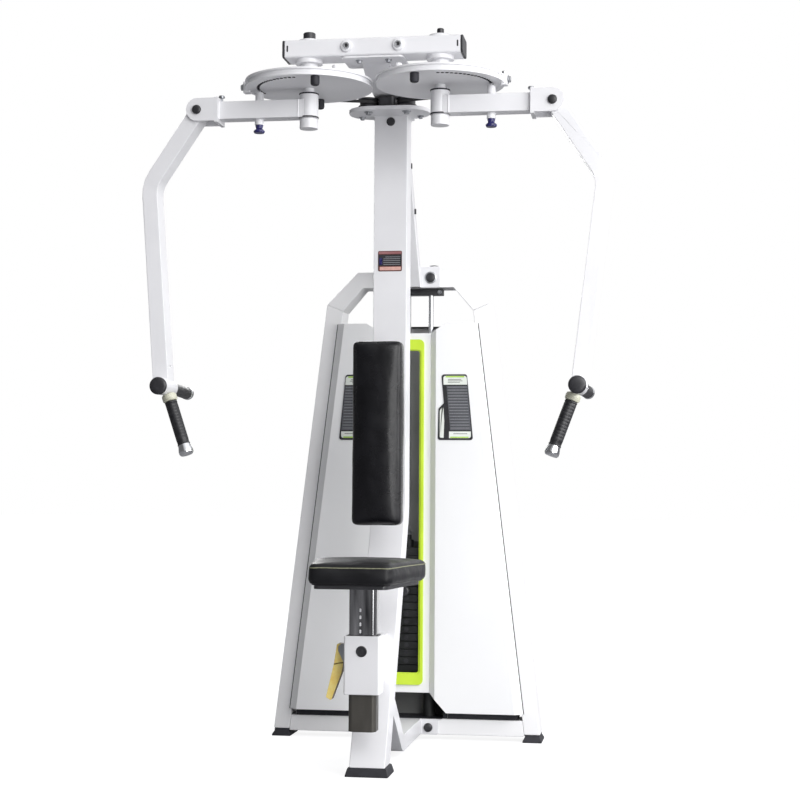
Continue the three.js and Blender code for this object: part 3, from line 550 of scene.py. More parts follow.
def flange_trim():
    """Bolts of the idlers and the neck under the mast flange, the belt guard and the mast's plug."""
    bolts = Shape()
    for side in (-1, 1):
        hex_bolt(bolts, (side * IDLER.x, IDLER.y, FLANGE_LOW.z), (0, 0, -1), 9, 13)
        hex_bolt(bolts, (side * 88 * MM, 62 * MM, FLANGE_LOW.z), (0, 0, -1), 7, 10)
        bolts.turned([(0, 0), (7, 0), (7, 2), (5, 3), (0, 3)],
                     (side * IDLER.x, IDLER.y, 1942.2 * MM), (0, 0, 1), 16)
    bolts.piece("flange_bolts", BARE_STEEL, "frame", "chrome")
    guard = Shape().prism(rounded_mm(-24, 24, -38, 43, 9), FLANGE_HIGH.z + 0.3 * MM, 1944 * MM)
    guard.piece("belt_guard", PLASTIC, "frame", "black_plastic", 2 * MM)
    plug = Shape().turned(cap_profile(13, 3.5), (0, MAST_FRONT, 1886 * MM), (0, -1, 0))
    plug.piece("mast_plug", PLASTIC, "frame", "black_plastic")


def mast_plate():
    """A plain enamelled plate on the mast: a dark field crossed by ribs between two pale bands."""
    layers = (
        ("back", MAROON, (-36, 36, 1436, 1497), 4, 0.9),
        ("top_band", DUSTY_ROSE, (-34, 34, 1488, 1495), 2, 1.3),
        ("field", PLASTIC, (-35, 35, 1452, 1486), 1, 1.3),
        ("corner", INDIGO, (-32, -23, 1456, 1476), 1, 1.7),
        ("bottom_band", SALMON, (-31, 33, 1439, 1449.5), 2, 1.3),
    )
    for name, material, (x0, x1, z0, z1), corner, proud in layers:
        outline = rounded_mm(x0, x1, z0, z1, corner)
        layer = Shape().prism(outline, MAST_FRONT - proud * MM, MAST_FRONT, "XZ")
        layer.piece(f"mast_plate_{name}", material, "frame", "placard", 0.15 * MM)
    ribs = Shape()
    for k in range(5):
        z = 1456.5 + 5.6 * k
        outline = rounded_mm(-20 if k < 4 else -14, 31, z - 0.7, z + 0.7, 0.6, steps=2)
        ribs.prism(outline, MAST_FRONT - 1.7 * MM, MAST_FRONT - 1.2 * MM, "XZ")
    ribs.piece("mast_plate_ribs", PLACARD_LINE, "frame", "placard")


def tower_caps():
    """Caps and washers over the tower bolts, and the plug on top of the bar."""
    caps, washers = Shape(), Shape()
    for side in (-1, 1):
        upper = at(side * 74, 397, 1457)
        caps.turned(cap_profile(15.5, 9), upper, (0, -1, 0))
        caps.turned(cap_profile(14, 8), at(side * 73, 397, 40), (0, -1, 0))
        washers.turned([(0, 0), (19, 0), (19, 2), (17, 3.4), (0, 3.4)], upper, (0, -1, 0))
    caps.piece("tower_bolt_caps", PLASTIC, "frame", "black_plastic")
    washers.piece("tower_bolt_washers", BARE_STEEL, "frame", "chrome")
    plug = Shape().turned(cap_profile(21, 24), at(78, 440, 1477))
    plug.piece("tower_top_plug", PLASTIC, "frame", "black_plastic")


def top_guide():
    """The plate under the top bar that holds the guide rods, with its bolt."""
    plate = Shape().prism(rounded_mm(-108, 108, 436, 474, 4), 1406 * MM, 1426 * MM)
    plate.piece("top_guide_plate", PAINT_BLACK, "frame", "black_paint", 1.2 * MM)
    bolt = Shape()
    hex_bolt(bolt, at(98, 436, 1415), (0, -1, 0), 5, 7)
    bolt.piece("top_guide_bolt", BARE_STEEL, "frame", "chrome")


def rear_fixings():
    """Screws round the rear cover and clips on the rear stay."""
    screws = Shape()
    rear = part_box("rear_cover")[1].y
    for side in (-1, 1):
        for z, x in ((130, 300), (700, 240), (1270, 150)):
            screws.turned([(0, 0), (6, 0), (5.4, 1.8), (3, 2.6), (0, 2.7)],
                          (side * x * MM, rear - 0.2 * MM, z * MM), (0, 1, 0), 16)
    screws.piece("rear_cover_screws", BARE_STEEL, "frame", "chrome")
    clips = Shape()
    for y, z in ((150, 1762), (236, 1636)):
        clips.block(at(44, y, z), at(50, y + 9, z + 16))
    clips.piece("stay_clips", PLASTIC, "frame", "black_plastic", 1 * MM)


def shroud():
    """Dark sheets behind and beside the weight stack, and black sheets of painted shade on the floor under
    the covers.
    """
    for label, material, low, high in (("lower", LINER, 62, 618), ("upper", GALVANISED, 618.4, 1262)):
        back = Shape().block(at(-134, 503.6, low), at(134, 505, high))
        back.piece(f"stack_liner_{label}", material, "frame", "black_paint", 0.3 * MM)
    # Black sheets over the floor under the covers: painted shade.
    shade_sheet = Shape().block(at(-117, 398, 67.2), at(117, 503, 68.4))
    shade_sheet.piece("painted_shade_sheet_middle", RUBBER, "frame", "black_paint", 0.3 * MM)
    foot = Shape().block(at(64, 501.6, 69), at(132, 503.4, 196))
    foot.piece("stack_liner_foot", RUBBER, "frame", "black_paint", 0.3 * MM)
    for label, side in SIDES:
        wall = Shape().block(at(side * 132.6, 404, 69), at(side * 134, 503.5, 1262))
        wall.piece(f"stack_liner_{label}", LINER, "frame", "black_paint", 0.3 * MM)
        near, far = sorted((side * 118, side * 352))
        shade_sheet = Shape().block(at(near, 410, 67.3), at(far, 503, 86))
        shade_sheet.piece(f"painted_shade_sheet_{label}", RUBBER, "frame", "black_paint", 1 * MM)


def window_lip():
    """The inner step of the green frame, narrower and set a little further back than its face."""
    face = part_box("window_frame")[0].y + 3 * MM
    inner = rounded_mm(-41, 41, 210, 1224, 8)
    outer = rounded_mm(-45.7, 45.7, 207.3, 1226.7, 9.6)
    lip = Shape().rings([[(x, y, z) for x, z in line] for line, y in (
        (outer, face), (inner, face + 2 * MM), (inner, face + 4 * MM), (outer, face + 4 * MM))],
        closed=True)
    lip.piece("window_lip", LIME, "frame", "lime_plastic")


def cover_gap_shades():
    """Dark strips of painted shadow along the outer edge of each front cover, showing the gap to the leg
    as a thin line.
    """
    points = [vertex.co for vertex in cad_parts["front_panel_right"].data.vertices]
    low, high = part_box("front_panel_right")
    foot = max(point.x for point in points if point.z < low.z + 1 * MM)
    head = max(point.x for point in points if point.z > high.z - 1 * MM)
    for label, side in SIDES:
        outline = [(side * (foot - 4 * MM), low.z), (side * (foot + 2.6 * MM), low.z),
                   (side * (head + 2.6 * MM), high.z), (side * (head - 4 * MM), high.z)]
        gap_shade = Shape().prism(outline, high.y + 0.1 * MM, 404.9 * MM, "XZ")
        gap_shade.piece(f"cover_gap_shade_{label}", RUBBER, "frame", "rubber")


# ---------------------------------------------------------------- discs, belts and arms
def arc(centre, radius, start, stop, z0, z1, steps):
    """Points round a circle, from start to stop in degrees, that may climb from z0 to z1."""
    path = []
    for k in range(steps + 1):
        share = k / steps
        angle = math.radians(start + (stop - start) * share)
        path.append(Vector((centre[0] + radius * math.cos(angle), centre[1] + radius * math.sin(angle),
                            z0 + (z1 - z0) * share)))
    return path


def crossing_angle():
    """Direction from the right disc's centre to where its belt leaves for the idler, in degrees."""
    across = Vector((IDLER.x - PIVOT_X, IDLER.y - PIVOT_Y))
    toward = math.degrees(math.atan2(across.y, across.x))
    return toward - math.degrees(math.acos((DISC_WRAP + IDLER_WRAP) / across.length))


def belts():
    """A belt lies on each disc rim, crosses to the idler and runs back into the neck."""
    leave = crossing_angle()
    section = mm([(-1.3, -4.4), (1.3, -4.4), (1.3, 4.4), (-1.3, 4.4)])
    rim = arc((PIVOT_X, PIVOT_Y), DISC_WRAP, 2, leave + 76, DISC_MID, DISC_MID, 40)
    angle = math.radians(leave)
    strand = [Vector((PIVOT_X + DISC_WRAP * math.cos(angle), PIVOT_Y + DISC_WRAP * math.sin(angle),
                      DISC_MID))]
    strand += arc(IDLER, IDLER_WRAP, leave - 180, -180, IDLER.z, IDLER.z, 10)
    strand.append(Vector((IDLER.x - IDLER_WRAP, 43.4 * MM, IDLER.z)))
    for label, side in SIDES:
        wrapped = Shape().swept([(side * p.x, p.y, p.z) for p in rim], section)
        wrapped.piece(f"rim_belt_{label}", BELT, f"cam_{label}", "rubber")
        run = Shape().swept([(side * p.x, p.y, p.z) for p in strand], section)
        run.piece(f"cross_belt_{label}", BELT, "frame", "rubber")
    housing = Shape().prism(rounded_mm(-62, 62, 98, 134, 8), 1915.2 * MM, 1945 * MM)
    housing.piece("belt_housing", PLASTIC, "frame", "black_plastic", 2 * MM)


def tower_cable():
    """The cable from the belt housing down over the tower pulley."""
    centre_y, centre_z, wrap = 413 * MM, 1546 * MM, 41.6 * MM
    start = Vector((0, 130 * MM, 1926 * MM))
    across = Vector((centre_y - start.y, centre_z - start.z))
    lean = math.atan2(across.y, across.x) + math.asin(wrap / across.length)
    touch = lean + math.pi / 2
    path = [start]
    steps = 10
    for k in range(steps + 1):
        angle = touch * (1 - k / steps)
        path.append(Vector((0, centre_y + wrap * math.cos(angle), centre_z + wrap * math.sin(angle))))
    cable = Shape().swept(path, circle(3.4 * MM, 12), (1, 0, 0))
    cable.piece("tower_cable", CABLE, "frame", "chrome")


def index_hole_shades(shape, side):
    """Dark rings of painted shade inside the index holes, five degrees apart, round the front of a disc.
    """
    hole_shade = [(4.22, 0), (5.0, 0), (5.0, 0.6), (4.42, 0.6), (4.42, 14), (4.22, 14)]
    z = DISC_BOTTOM + 0.9 * MM
    for spot in arc((PIVOT_X, PIVOT_Y), HOLE_CIRCLE, -85, 15, z, z, 20):
        shape.turned(hole_shade, (side * spot.x, spot.y, z), (0, 0, 1), 12, hollow=True)


def disc_trim():
    """Stops and dark rings of painted shade in the holes under each disc, a post on top of it and the
    bolts of its belt clamp.
    """
    for label, side in SIDES:
        body = f"cam_{label}"
        hole_shades = Shape()
        index_hole_shades(hole_shades, side)
        hole_shades.piece(f"index_hole_shades_{label}", RUBBER, body, "rubber")
        stops = Shape()
        for inward, along in ((50, -155), (4, 137)):
            spot = (side * (PIVOT_X - inward * MM), PIVOT_Y + along * MM, DISC_BOTTOM + 1 * MM)
            stops.turned([(0, 0), (12, 0), (12.6, 4), (12.6, 21), (11, 26), (7, 28), (0, 28)],
                         spot, (0, 0, -1), 24)
        stops.piece(f"disc_stops_{label}", RUBBER, body, "rubber")
        post = Shape().turned([(0, 0), (10, 0), (10, 18), (8, 20), (0, 20)],
                              (side * (PIVOT_X - 100 * MM), PIVOT_Y - 118 * MM, DISC_TOP - 5 * MM))
        post.piece(f"disc_post_{label}", WHITE, body, "white_paint")
        clamp = Shape()
        over = (side * (PIVOT_X + 180 * MM), PIVOT_Y + 1 * MM, DISC_TOP + 4 * MM)
        hex_bolt(clamp, over, (0, 0, 1), 7, 9)
        beside = (side * (PIVOT_X + 190 * MM), PIVOT_Y + 1 * MM, DISC_MID)
        hex_bolt(clamp, beside, (side, 0, 0), 9, 12)
        clamp.piece(f"belt_clamp_bolts_{label}", BARE_STEEL, body, "chrome")


def pin_spring(label, side):
    """The bright tip of the pop pin and the spring coiled round it."""
    x, turns = side * 332 * MM, 5
    coil = arc((x, PIVOT_Y), 6.4 * MM, 0, 360 * turns, 1906.5 * MM, 1917 * MM, 14 * turns)
    tip_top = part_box(f"pop_pin_{label}")[1].z
    tip = Shape().turned([(0, 0), (4.15, 0), (4.15, 28.2), (0, 28.2)],
                         (x, PIVOT_Y, tip_top - 28 * MM), (0, 0, 1), 20)
    tip.piece(f"pin_tip_{label}", CHROME, f"pop_pin_{label}", "chrome")
    spring = Shape().swept(coil, circle(0.8 * MM, 6))
    spring.piece(f"pin_spring_{label}", BARE_STEEL, f"arm_{label}", "chrome")


def arm_trim():
    """Rings round the hubs, the pin springs, the end screws and the caps of the fork pins."""
    for label, side in SIDES:
        body = f"arm_{label}"
        rings = Shape()
        for z in (1838 * MM, 1905 * MM):
            rings.turned([(0, 0), (27.8, 0), (28.4, 1), (28.4, 3), (27.8, 4), (0, 4)],
                         (side * PIVOT_X, PIVOT_Y, z), (0, 0, 1), 36)
        rings.piece(f"hub_rings_{label}", RUBBER, body, "rubber")
        pin_spring(label, side)
        screw = Shape().turned([(0, 0), (4, 0), (4, 14), (8.5, 15), (9, 19), (7, 22), (0, 22)],
                               (side * 443 * MM, PIVOT_Y, ARM_Z + 25 * MM), (0, 0, 1), 20)
        screw.piece(f"arm_end_screw_{label}", BARE_STEEL, body, "chrome")
        caps = Shape()
        for toward in (-1, 1):
            spot = (side * 505 * MM, PIVOT_Y + toward * 43 * MM, ARM_Z)
            caps.turned(cap_profile(13, 7), spot, (0, toward, 0))
        caps.piece(f"fork_caps_{label}", PLASTIC, body, "black_plastic")


def grip_profile(length, radius):
    """A moulded grip, in millimetres: a bead at each end and very shallow rings between them."""
    edge, bead, neck, valley = radius - 1, radius + 0.4, radius - 0.8, radius - 0.25
    profile = [(0, 0), (edge, 0), (bead, 1.2), (bead, 4.5), (neck, 5.6)]
    pitch = 9
    for k in range(int((length - 14) / pitch)):
        start = 7 + k * pitch
        profile += [(valley, start), (radius, start + 0.8), (radius, start + 7.8), (valley, start + 8.6)]
    profile += [(neck, length - 5.6), (bead, length - 4.5), (bead, length - 1.2), (edge, length),
                (0, length)]
    return profile


def grips():
    """Moulded grips over both rods of each lever, the collars above them and the front caps."""
    for label, side in SIDES:
        body = f"lever_{label}"
        for stem, start, stop, radius, first, last in (
                ("rear_grip", (0, 51, 0), (12, 253, -4), 17.5, 0.030, 0.993),
                ("hanging_grip", (-11, -2, -20), (-74, -24, -192), 17.3, 0.13, 0.835)):
            low = HANDLE + Vector(start) * MM
            high = HANDLE + Vector(stop) * MM
            low.x *= side
            high.x *= side
            run = high - low
            profile = grip_profile(run.length * (last - first) / MM, radius)
            grip = Shape().turned(profile, low + run * first, run, 32)
            made = grip.piece(f"moulded_{stem}_{label}", GRIP, body, "rubber", angle=50)
            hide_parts(f"{stem}_{label}")
            if stem == "hanging_grip":
                profile = [(0, 0), (15, 0), (20, 3), (21, 8), (21, 18), (18, 22), (0, 22)]
                collar = Shape().turned(profile, low + run * 0.002, run, 32)
                collar.piece(f"grip_collar_{label}", CREAM, body, "black_plastic")
        spot = (side * HANDLE.x, -375 * MM, HANDLE.z)
        cap = Shape().turned(cap_profile(24.6, 9), spot, (0, -1, 0), 36)
        cap.piece(f"handle_cap_{label}", PLASTIC, body, "black_plastic")


# ---------------------------------------------------------------- weight stack
def plate_row(name, node, body, count):
    """Separate plates with eased edges and a pin hole in front."""
    low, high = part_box(node)
    plates, holes = Shape(), Shape()
    for k in range(count):
        z0 = low.z + k * PLATE_PITCH
        outline = rounded(low.x, high.x, low.y, high.y, 6 * MM, 3)
        ease = 1.6 * MM
        inner = rounded(low.x + ease, high.x - ease, low.y + ease, high.y - ease, 4.4 * MM, 3)
        top = z0 + PLATE_PITCH - 0.5 * MM
        plates.stacked([(inner, z0 + 0.2 * MM), (outline, z0 + ease), (outline, top - ease),
                        (inner, top)])
        holes.turned([(0, 0), (7.5, 0), (7.5, 0.5), (5.6, 0.7), (5.2, 0.1), (0, 0.1)],
                     (0, low.y, z0 + PLATE_PITCH / 2), (0, -1, 0), 20)
    made = plates.piece(name, STACK_STEEL, body, "stack_steel", angle=30)
    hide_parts(node)
    holes.piece(f"{name}_pin_holes", PLASTIC, body, "black_plastic")


def lift_cable():
    """The braided cable over the stack, with a mesh of its own, and the nut that rides on the stack."""
    low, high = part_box("lift_cable")
    steps = 24
    path = [(0, STACK_Y, low.z + (high.z - low.z) * k / steps) for k in range(steps + 1)]
    cable = Shape().swept(path, circle(3.45 * MM, 12), (0, 1, 0))
    made = cable.piece("braided_lift_cable", CABLE, "frame", "chrome")
    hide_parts("lift_cable")
    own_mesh(made)
    nut = Shape().turned([(0, 0), (9, 0), (9, 9), (8, 10), (5, 11), (5, 26), (4, 28), (0, 28)],
                         (0, STACK_Y, low.z - 1 * MM), (0, 0, 1), 6)
    nut.piece("cable_end_nut", BARE_STEEL, "weight_stack", "chrome")


# ---------------------------------------------------------------- placards
def eased(points, radius, steps=4):
    """An outline of (x, z, share of the radius) points with its corners rounded off."""
    outline = []
    for i, (x, z, share) in enumerate(points):
        corner = Vector((x, z))
        if not share:
            outline.append(corner)
            continue
        before = (Vector(points[i - 1][:2]) - corner).normalized() * radius * share
        after = (Vector(points[(i + 1) % len(points)][:2]) - corner).normalized() * radius * share
        for k in range(steps + 1):
            t = k / steps
            outline.append(corner + before * (1 - t) ** 2 + after * t ** 2)
    return outline


def plain_bar(shape, side, left, right, low, height):
    """A thin level bar on a placard, from sizes in millimetres."""
    high = low + height
    outline = mm([(side * left, low), (side * right, low), (side * right, high), (side * left, high)])
    shape.prism(outline, PLACARD_FACE - 0.8 * MM, PLACARD_FACE - 0.4 * MM, "XZ")


def placards():
    """Layered plates: pale panels edged with green, a ribbed grey field, a pale tab and plain bars."""
    layers = (
        ("top_panel", PLACARD_PALE, 0.5,
         [(120, 1115, 0), (195, 1115, 0), (193, 1143, 1), (119, 1143, 1)]),
        ("top_edge", PLACARD_GREEN, 0.8,
         [(126, 1138, 0), (186, 1138, 0), (185, 1142.4, 0), (127, 1142.4, 0)]),
        ("margin", PLASTIC, 0.6,
         [(133, 972, 0), (141, 972, 0), (129, 1112, 0), (121.5, 1112, 0), (130, 1050, 0)]),
        ("field", PLACARD_GREY, 0.5,
         [(141.5, 972, 0), (207, 972, 0), (196, 1112, 0), (129.5, 1112, 0)]),
        ("tab", PLACARD_PALE, 0.5,
         [(108.5, 948, 0.6), (121, 948, 0), (122.5, 1000, 0), (120, 1043, 0.5), (115, 1043, 0.3),
          (108.5, 1034, 0.4)]),
        ("bottom_panel", PLACARD_PALE, 0.5,
         [(138, 947, 0.2), (207.5, 947, 1), (207, 968, 0), (138, 968, 0)]),
        ("bottom_edge", PLACARD_GREEN, 0.8,
         [(142, 947.6, 0), (200, 947.6, 0), (200, 951.6, 0), (142, 951.6, 0)]),
    )
    for label, side in SIDES:
        for name, material, proud, points in layers:
            outline = mm([(side * p.x, p.y) for p in eased(points, 9)])
            layer = Shape().prism(outline, PLACARD_FACE - proud * MM, PLACARD_FACE, "XZ")
            layer.piece(f"placard_{name}_{label}", material, "frame", "placard", 0.15 * MM)
        pale, dark = Shape(), Shape()
        for k in range(15):
            base = 978 + 9.2 * k
            for shape, left, right, low, height in (
                    (pale, 144, 202, base, 1.3), (dark, 142, 204, base + 4.4, 1.2)):
                lean = 12 * (low - 972) / 140
                plain_bar(shape, side, left - lean, right - 0.62 * k, low, height)
        for left, right, low in ((134, 176, 1131), (134, 180, 1126.5), (134, 172, 1122), (152, 196, 960)):
            plain_bar(dark, side, left, right, low, 1.5)
        pale.piece(f"placard_pale_ribs_{label}", PLACARD_LINE, "frame", "placard")
        dark.piece(f"placard_dark_ribs_{label}", PLASTIC, "frame", "placard")


# ---------------------------------------------------------------- padding
def remeshed(name, node, voxel):
    """A copy of a padded node's mesh, evenly remeshed for simulation."""
    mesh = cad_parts[node].data.copy()
    work = bmesh.new()
    work.from_mesh(mesh)
    bmesh.ops.remove_doubles(work, verts=work.verts, dist=JOIN_DISTANCE)
    work.to_mesh(mesh)
    work.free()
    made = placed(name, mesh)
    modifier = made.modifiers.new("even_mesh", "REMESH")
    modifier.mode = "VOXEL"
    modifier.voxel_size = voxel
    apply_modifiers(made)
    return made


def apply_modifiers(piece):
    """Keeps the piece's shown mesh as its own and drops the modifiers."""
    graph = bpy.context.evaluated_depsgraph_get()
    mesh = bpy.data.meshes.new_from_object(piece.evaluated_get(graph))
    piece.modifiers.clear()
    piece.data = mesh


def inflate(piece, held, pressure, limit, frames=20):
    """Blows the cover up like cloth over foam; held points stay and the rest move less than the limit."""
    before = [vertex.co.copy() for vertex in piece.data.vertices]
    group = piece.vertex_groups.new(name="held")
    group.add([i for i, point in enumerate(before) if held(point)], 1.0, "REPLACE")
    cloth = piece.modifiers.new("cover_cloth", "CLOTH")
    settings = cloth.settings
    settings.quality = 6
    settings.mass = 0.3
    settings.tension_stiffness = 25
    settings.compression_stiffness = 25
    settings.shear_stiffness = 15
    settings.bending_stiffness = 1.5
    settings.use_pressure = True
    settings.uniform_pressure_force = pressure
    settings.effector_weights.gravity = 0
    settings.vertex_group_mass = "held"
    cloth.point_cache.frame_start = 1
    cloth.point_cache.frame_end = frames
    for step in range(1, frames + 1):
        bpy.context.scene.frame_set(step)
    apply_modifiers(piece)
    bpy.context.scene.frame_set(1)
    piece.vertex_groups.clear()
    for vertex, start in zip(piece.data.vertices, before):
        moved = vertex.co - start
        vertex.co = start + moved * (limit / (limit + moved.length))
    relax = piece.modifiers.new("relaxed_cover", "SMOOTH")
    relax.factor = 0.5
    relax.iterations = 5
    apply_modifiers(piece)


def creased(piece, size, height, seed, keep=lambda point: 1.0):
    """Moves the cover along its normals in soft, shallow folds."""
    mesh = piece.data
    normals = [vertex.normal.copy() for vertex in mesh.vertices]
    for vertex, normal in zip(mesh.vertices, normals):
        spot = Vector((vertex.co.x / size[0], vertex.co.y / size[1], vertex.co.z / size[2]))
        broad = noise.noise(spot + Vector((seed, 0, 0)))
        narrow = noise.noise(spot * 2.3 + Vector((0, seed, 0)))
        vertex.co += normal * (broad + 0.5 * narrow) * height * keep(vertex.co)


def subdivided(piece, levels=1):
    modifier = piece.modifiers.new("finer_cover", "SUBSURF")
    modifier.levels = levels
    modifier.render_levels = levels
    apply_modifiers(piece)


def upholstered(piece, material, body, node):
    """Finish, smooth shading and body that every padded cover shares, with its node hidden."""
    mesh = piece.data
    mesh.materials.clear()
    mesh.materials.append(material)
    mesh.polygons.foreach_set("use_smooth", [True] * len(mesh.polygons))
    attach(piece, body)
    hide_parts(node)


def surface_loop(piece, loop, toward, reach=0.04):
    """Where a loop of points meets the cover when each is pushed along its own direction."""
    graph = bpy.context.evaluated_depsgraph_get()
    tree = BVHTree.FromObject(piece, graph)
    found = []
    for point in loop:
        direction = toward(point).normalized()
        hit = tree.ray_cast(point - direction * reach, direction, 3 * reach)[0]
        found.append(hit if hit is not None else point)
    return found


def seam(name, piece, loop, toward, radius, material, body, up=(0, 0, 1)):
    """A sewn cord laid along a loop on the cover."""
    path = surface_loop(piece, loop, toward)
    cord = Shape().swept(path, circle(radius, 8), up, closed=True)
    cord.piece(name, material, body, "leather")


def trapezoid(front_half, back_half, front, back, radius, steps=7):
    """Outline of the seat seen from above, with round corners."""
    corners = [Vector((front_half, front)), Vector((back_half, back)),
               Vector((-back_half, back)), Vector((-front_half, front))]
    outline = []
    for i, corner in enumerate(corners):
        before = (corners[i - 1] - corner).normalized()
        after = (corners[(i + 1) % 4] - corner).normalized()
        spread = before.angle(after)
        reach = radius / math.tan(spread / 2)
        centre = corner + (before + after).normalized() * (radius / math.sin(spread / 2))
        first = corner + before * reach - centre
        last = corner + after * reach - centre
        turn = first.angle_signed(last)
        for k in range(steps + 1):
            spin = Matrix.Rotation(-turn * k / steps, 2)
            outline.append(centre + spin @ first)
    return outline


def lengthened(outline, spacing):
    """The same closed outline with a point at least every spacing along its straight runs."""
    points = []
    for i, point in enumerate(outline):
        after = outline[(i + 1) % len(outline)]
        steps = max(1, int((after - point).length / spacing))
        points += [point.lerp(after, k / steps) for k in range(steps)]
    return points


def crown_share(height):
    """How far a point goes with the crown, from its share of the pad's thickness."""
    return max(0.0, height - CROWN_START) / (1 - CROWN_START)


def seat_cushion():
    """A boxed seat: a crowned top inside a piped seam, over straight sides and a flat board."""
    low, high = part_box("seat_pad")
    cushion = remeshed("seat_cushion", "seat_pad", 4.5 * MM)
    middle = (low.y + high.y) / 2
    half = Vector((high.x, (high.y - low.y) / 2))
    for vertex in cushion.data.vertices:
        point = vertex.co
        across = min(1.0, abs(point.x) / half.x)
        along = min(1.0, abs(point.y - middle) / half.y)
        rise = crown_share((point.z - low.z) / (high.z - low.z))
        point.x *= 0.990
        point.y = middle + (point.y - middle) * 0.990
        point.z += SEAT_CROWN * rise * (1 - across ** 2.6) * (1 - along ** 2.6)
    inflate(cushion, lambda point: point.z < low.z + 6 * MM, 2.0, 3.5 * MM)
    subdivided(cushion)
    creased(cushion, (0.07, 0.07, 0.03), 0.8 * MM, 3.1,
            lambda point: 0.0 if point.z < low.z + 4 * MM else 1.0)
    upholstered(cushion, LEATHER, "seat", "seat_pad")
    outline = lengthened(trapezoid(SEAT_FRONT_HALF, SEAT_BACK_HALF, low.y, high.y, 18 * MM), 8 * MM)
    loop = [Vector((p.x, p.y, high.z - 6 * MM)) for p in outline]

    def level(point):
        return Vector((-point.x, middle - point.y, 0)).normalized()

    def inward(point):
        return level(point) + Vector((0, 0, -0.9))

    seam("seat_piping", cushion, loop, inward, 1.4 * MM, PIPING, "seat")
    lower = [Vector((p.x, p.y, low.z + 5 * MM)) for p in outline]
    seam("seat_base_seam", cushion, lower, level, 1.1 * MM, LEATHER, "seat")
    board = Shape().prism([(p.x * 0.93, middle + (p.y - middle) * 0.93) for p in outline],
                          low.z - 0.6 * MM, low.z + 3 * MM)
    board.piece("seat_board", PLASTIC, "seat", "black_plastic", 0.6 * MM)


def backrest_cushion():
    """A tall boxed pad with a crowned front, sewn round the edge of its face."""
    low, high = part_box("backrest_pad")
    cushion = remeshed("backrest_cushion", "backrest_pad", 5 * MM)
    centre = Vector((0, 0, (low.z + high.z) / 2))
    for vertex in cushion.data.vertices:
        point = vertex.co
        across = min(1.0, abs(point.x) / high.x)
        along = min(1.0, abs(point.z - centre.z) / (high.z - centre.z))
        rise = crown_share((high.y - point.y) / (high.y - low.y))
        point.x *= 0.988
        point.z = centre.z + (point.z - centre.z) * 0.996
        point.y -= rise * (BACK_CROWN * (1 - across ** 3.0) * (1 - along ** 30) - BACK_SINK)
    inflate(cushion, lambda point: point.y > high.y - 6 * MM, 1.2, 2.5 * MM)
    subdivided(cushion)
    creased(cushion, (0.05, 0.05, 0.10), 0.8 * MM, 8.4,
            lambda point: 0.0 if point.y > high.y - 5 * MM else 1.0)
    upholstered(cushion, BACK_LEATHER, "frame", "backrest_pad")
    outline = [Vector(p) for p in rounded(low.x, high.x, low.z, high.z, 13 * MM, 6)]
    outline = lengthened(outline, 10 * MM)

    def inward(point):
        near = Vector((point.x * 0.4, 0, centre.z + (point.z - centre.z) * 0.85))
        return Vector((near.x - point.x, 0, near.z - point.z)).normalized()

    for name, y, radius, material in (("backrest_face_seam", low.y + 9 * MM, 1.0 * MM, BACK_LEATHER),
                                      ("backrest_rear_seam", high.y - 7 * MM, 1.2 * MM, PIPING)):
        loop = [Vector((p.x, y, p.y)) for p in outline]
        seam(name, cushion, loop, inward, radius, material, "frame", up=(0, 1, 0))


# ---------------------------------------------------------------- seat post and sleeve
def seat_post():
    """The chrome upper post, streaked with painted reflections, with its index slots, and the darker lower
    end with its plug.
    """
    low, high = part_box("seat_post")
    outline = rounded(low.x, high.x, low.y, high.y, 12 * MM, 6)
    joint = 292 * MM
    upper = Shape().prism(outline, joint, high.z)
    made = upper.piece("post_chrome_painted_reflections", POST_CHROME_PAINTED_REFLECTIONS, "seat", "chrome", 0.6 * MM)
    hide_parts("seat_post")
    lower = Shape().prism(outline, low.z, joint - 0.1 * MM)
    lower.piece("post_lower", POST_LOWER_TONE, "seat", "chrome", 0.8 * MM)
    plug = Shape().prism(rounded(low.x + 5 * MM, high.x - 5 * MM, low.y + 5 * MM, high.y - 5 * MM, 8 * MM),
                         low.z - 1.5 * MM, low.z + 2 * MM)
    plug.piece("post_end_plug", PLASTIC, "seat", "black_plastic", 0.8 * MM)
    marks = Shape()
    for k in range(9):
        z = 305 + 19 * k
        marks.prism(rounded_mm(-7.6, -2.8, z, z + 10, 2.2, steps=3),
                    low.y - 0.25 * MM, low.y + 1 * MM, "XZ")
    marks.piece("post_index_marks", WHITE, "seat", "chrome")
    # The side slot is a black patch on the post: painted shade in the opening.
    slot = Shape().prism(rounded(low.y + 14 * MM, low.y + 26 * MM, 204 * MM, 230 * MM, 4 * MM, 4),
                         high.x - 1 * MM, high.x + 0.3 * MM, "YZ")
    slot.piece("post_side_slot_shade", PLASTIC, "seat", "black_plastic")


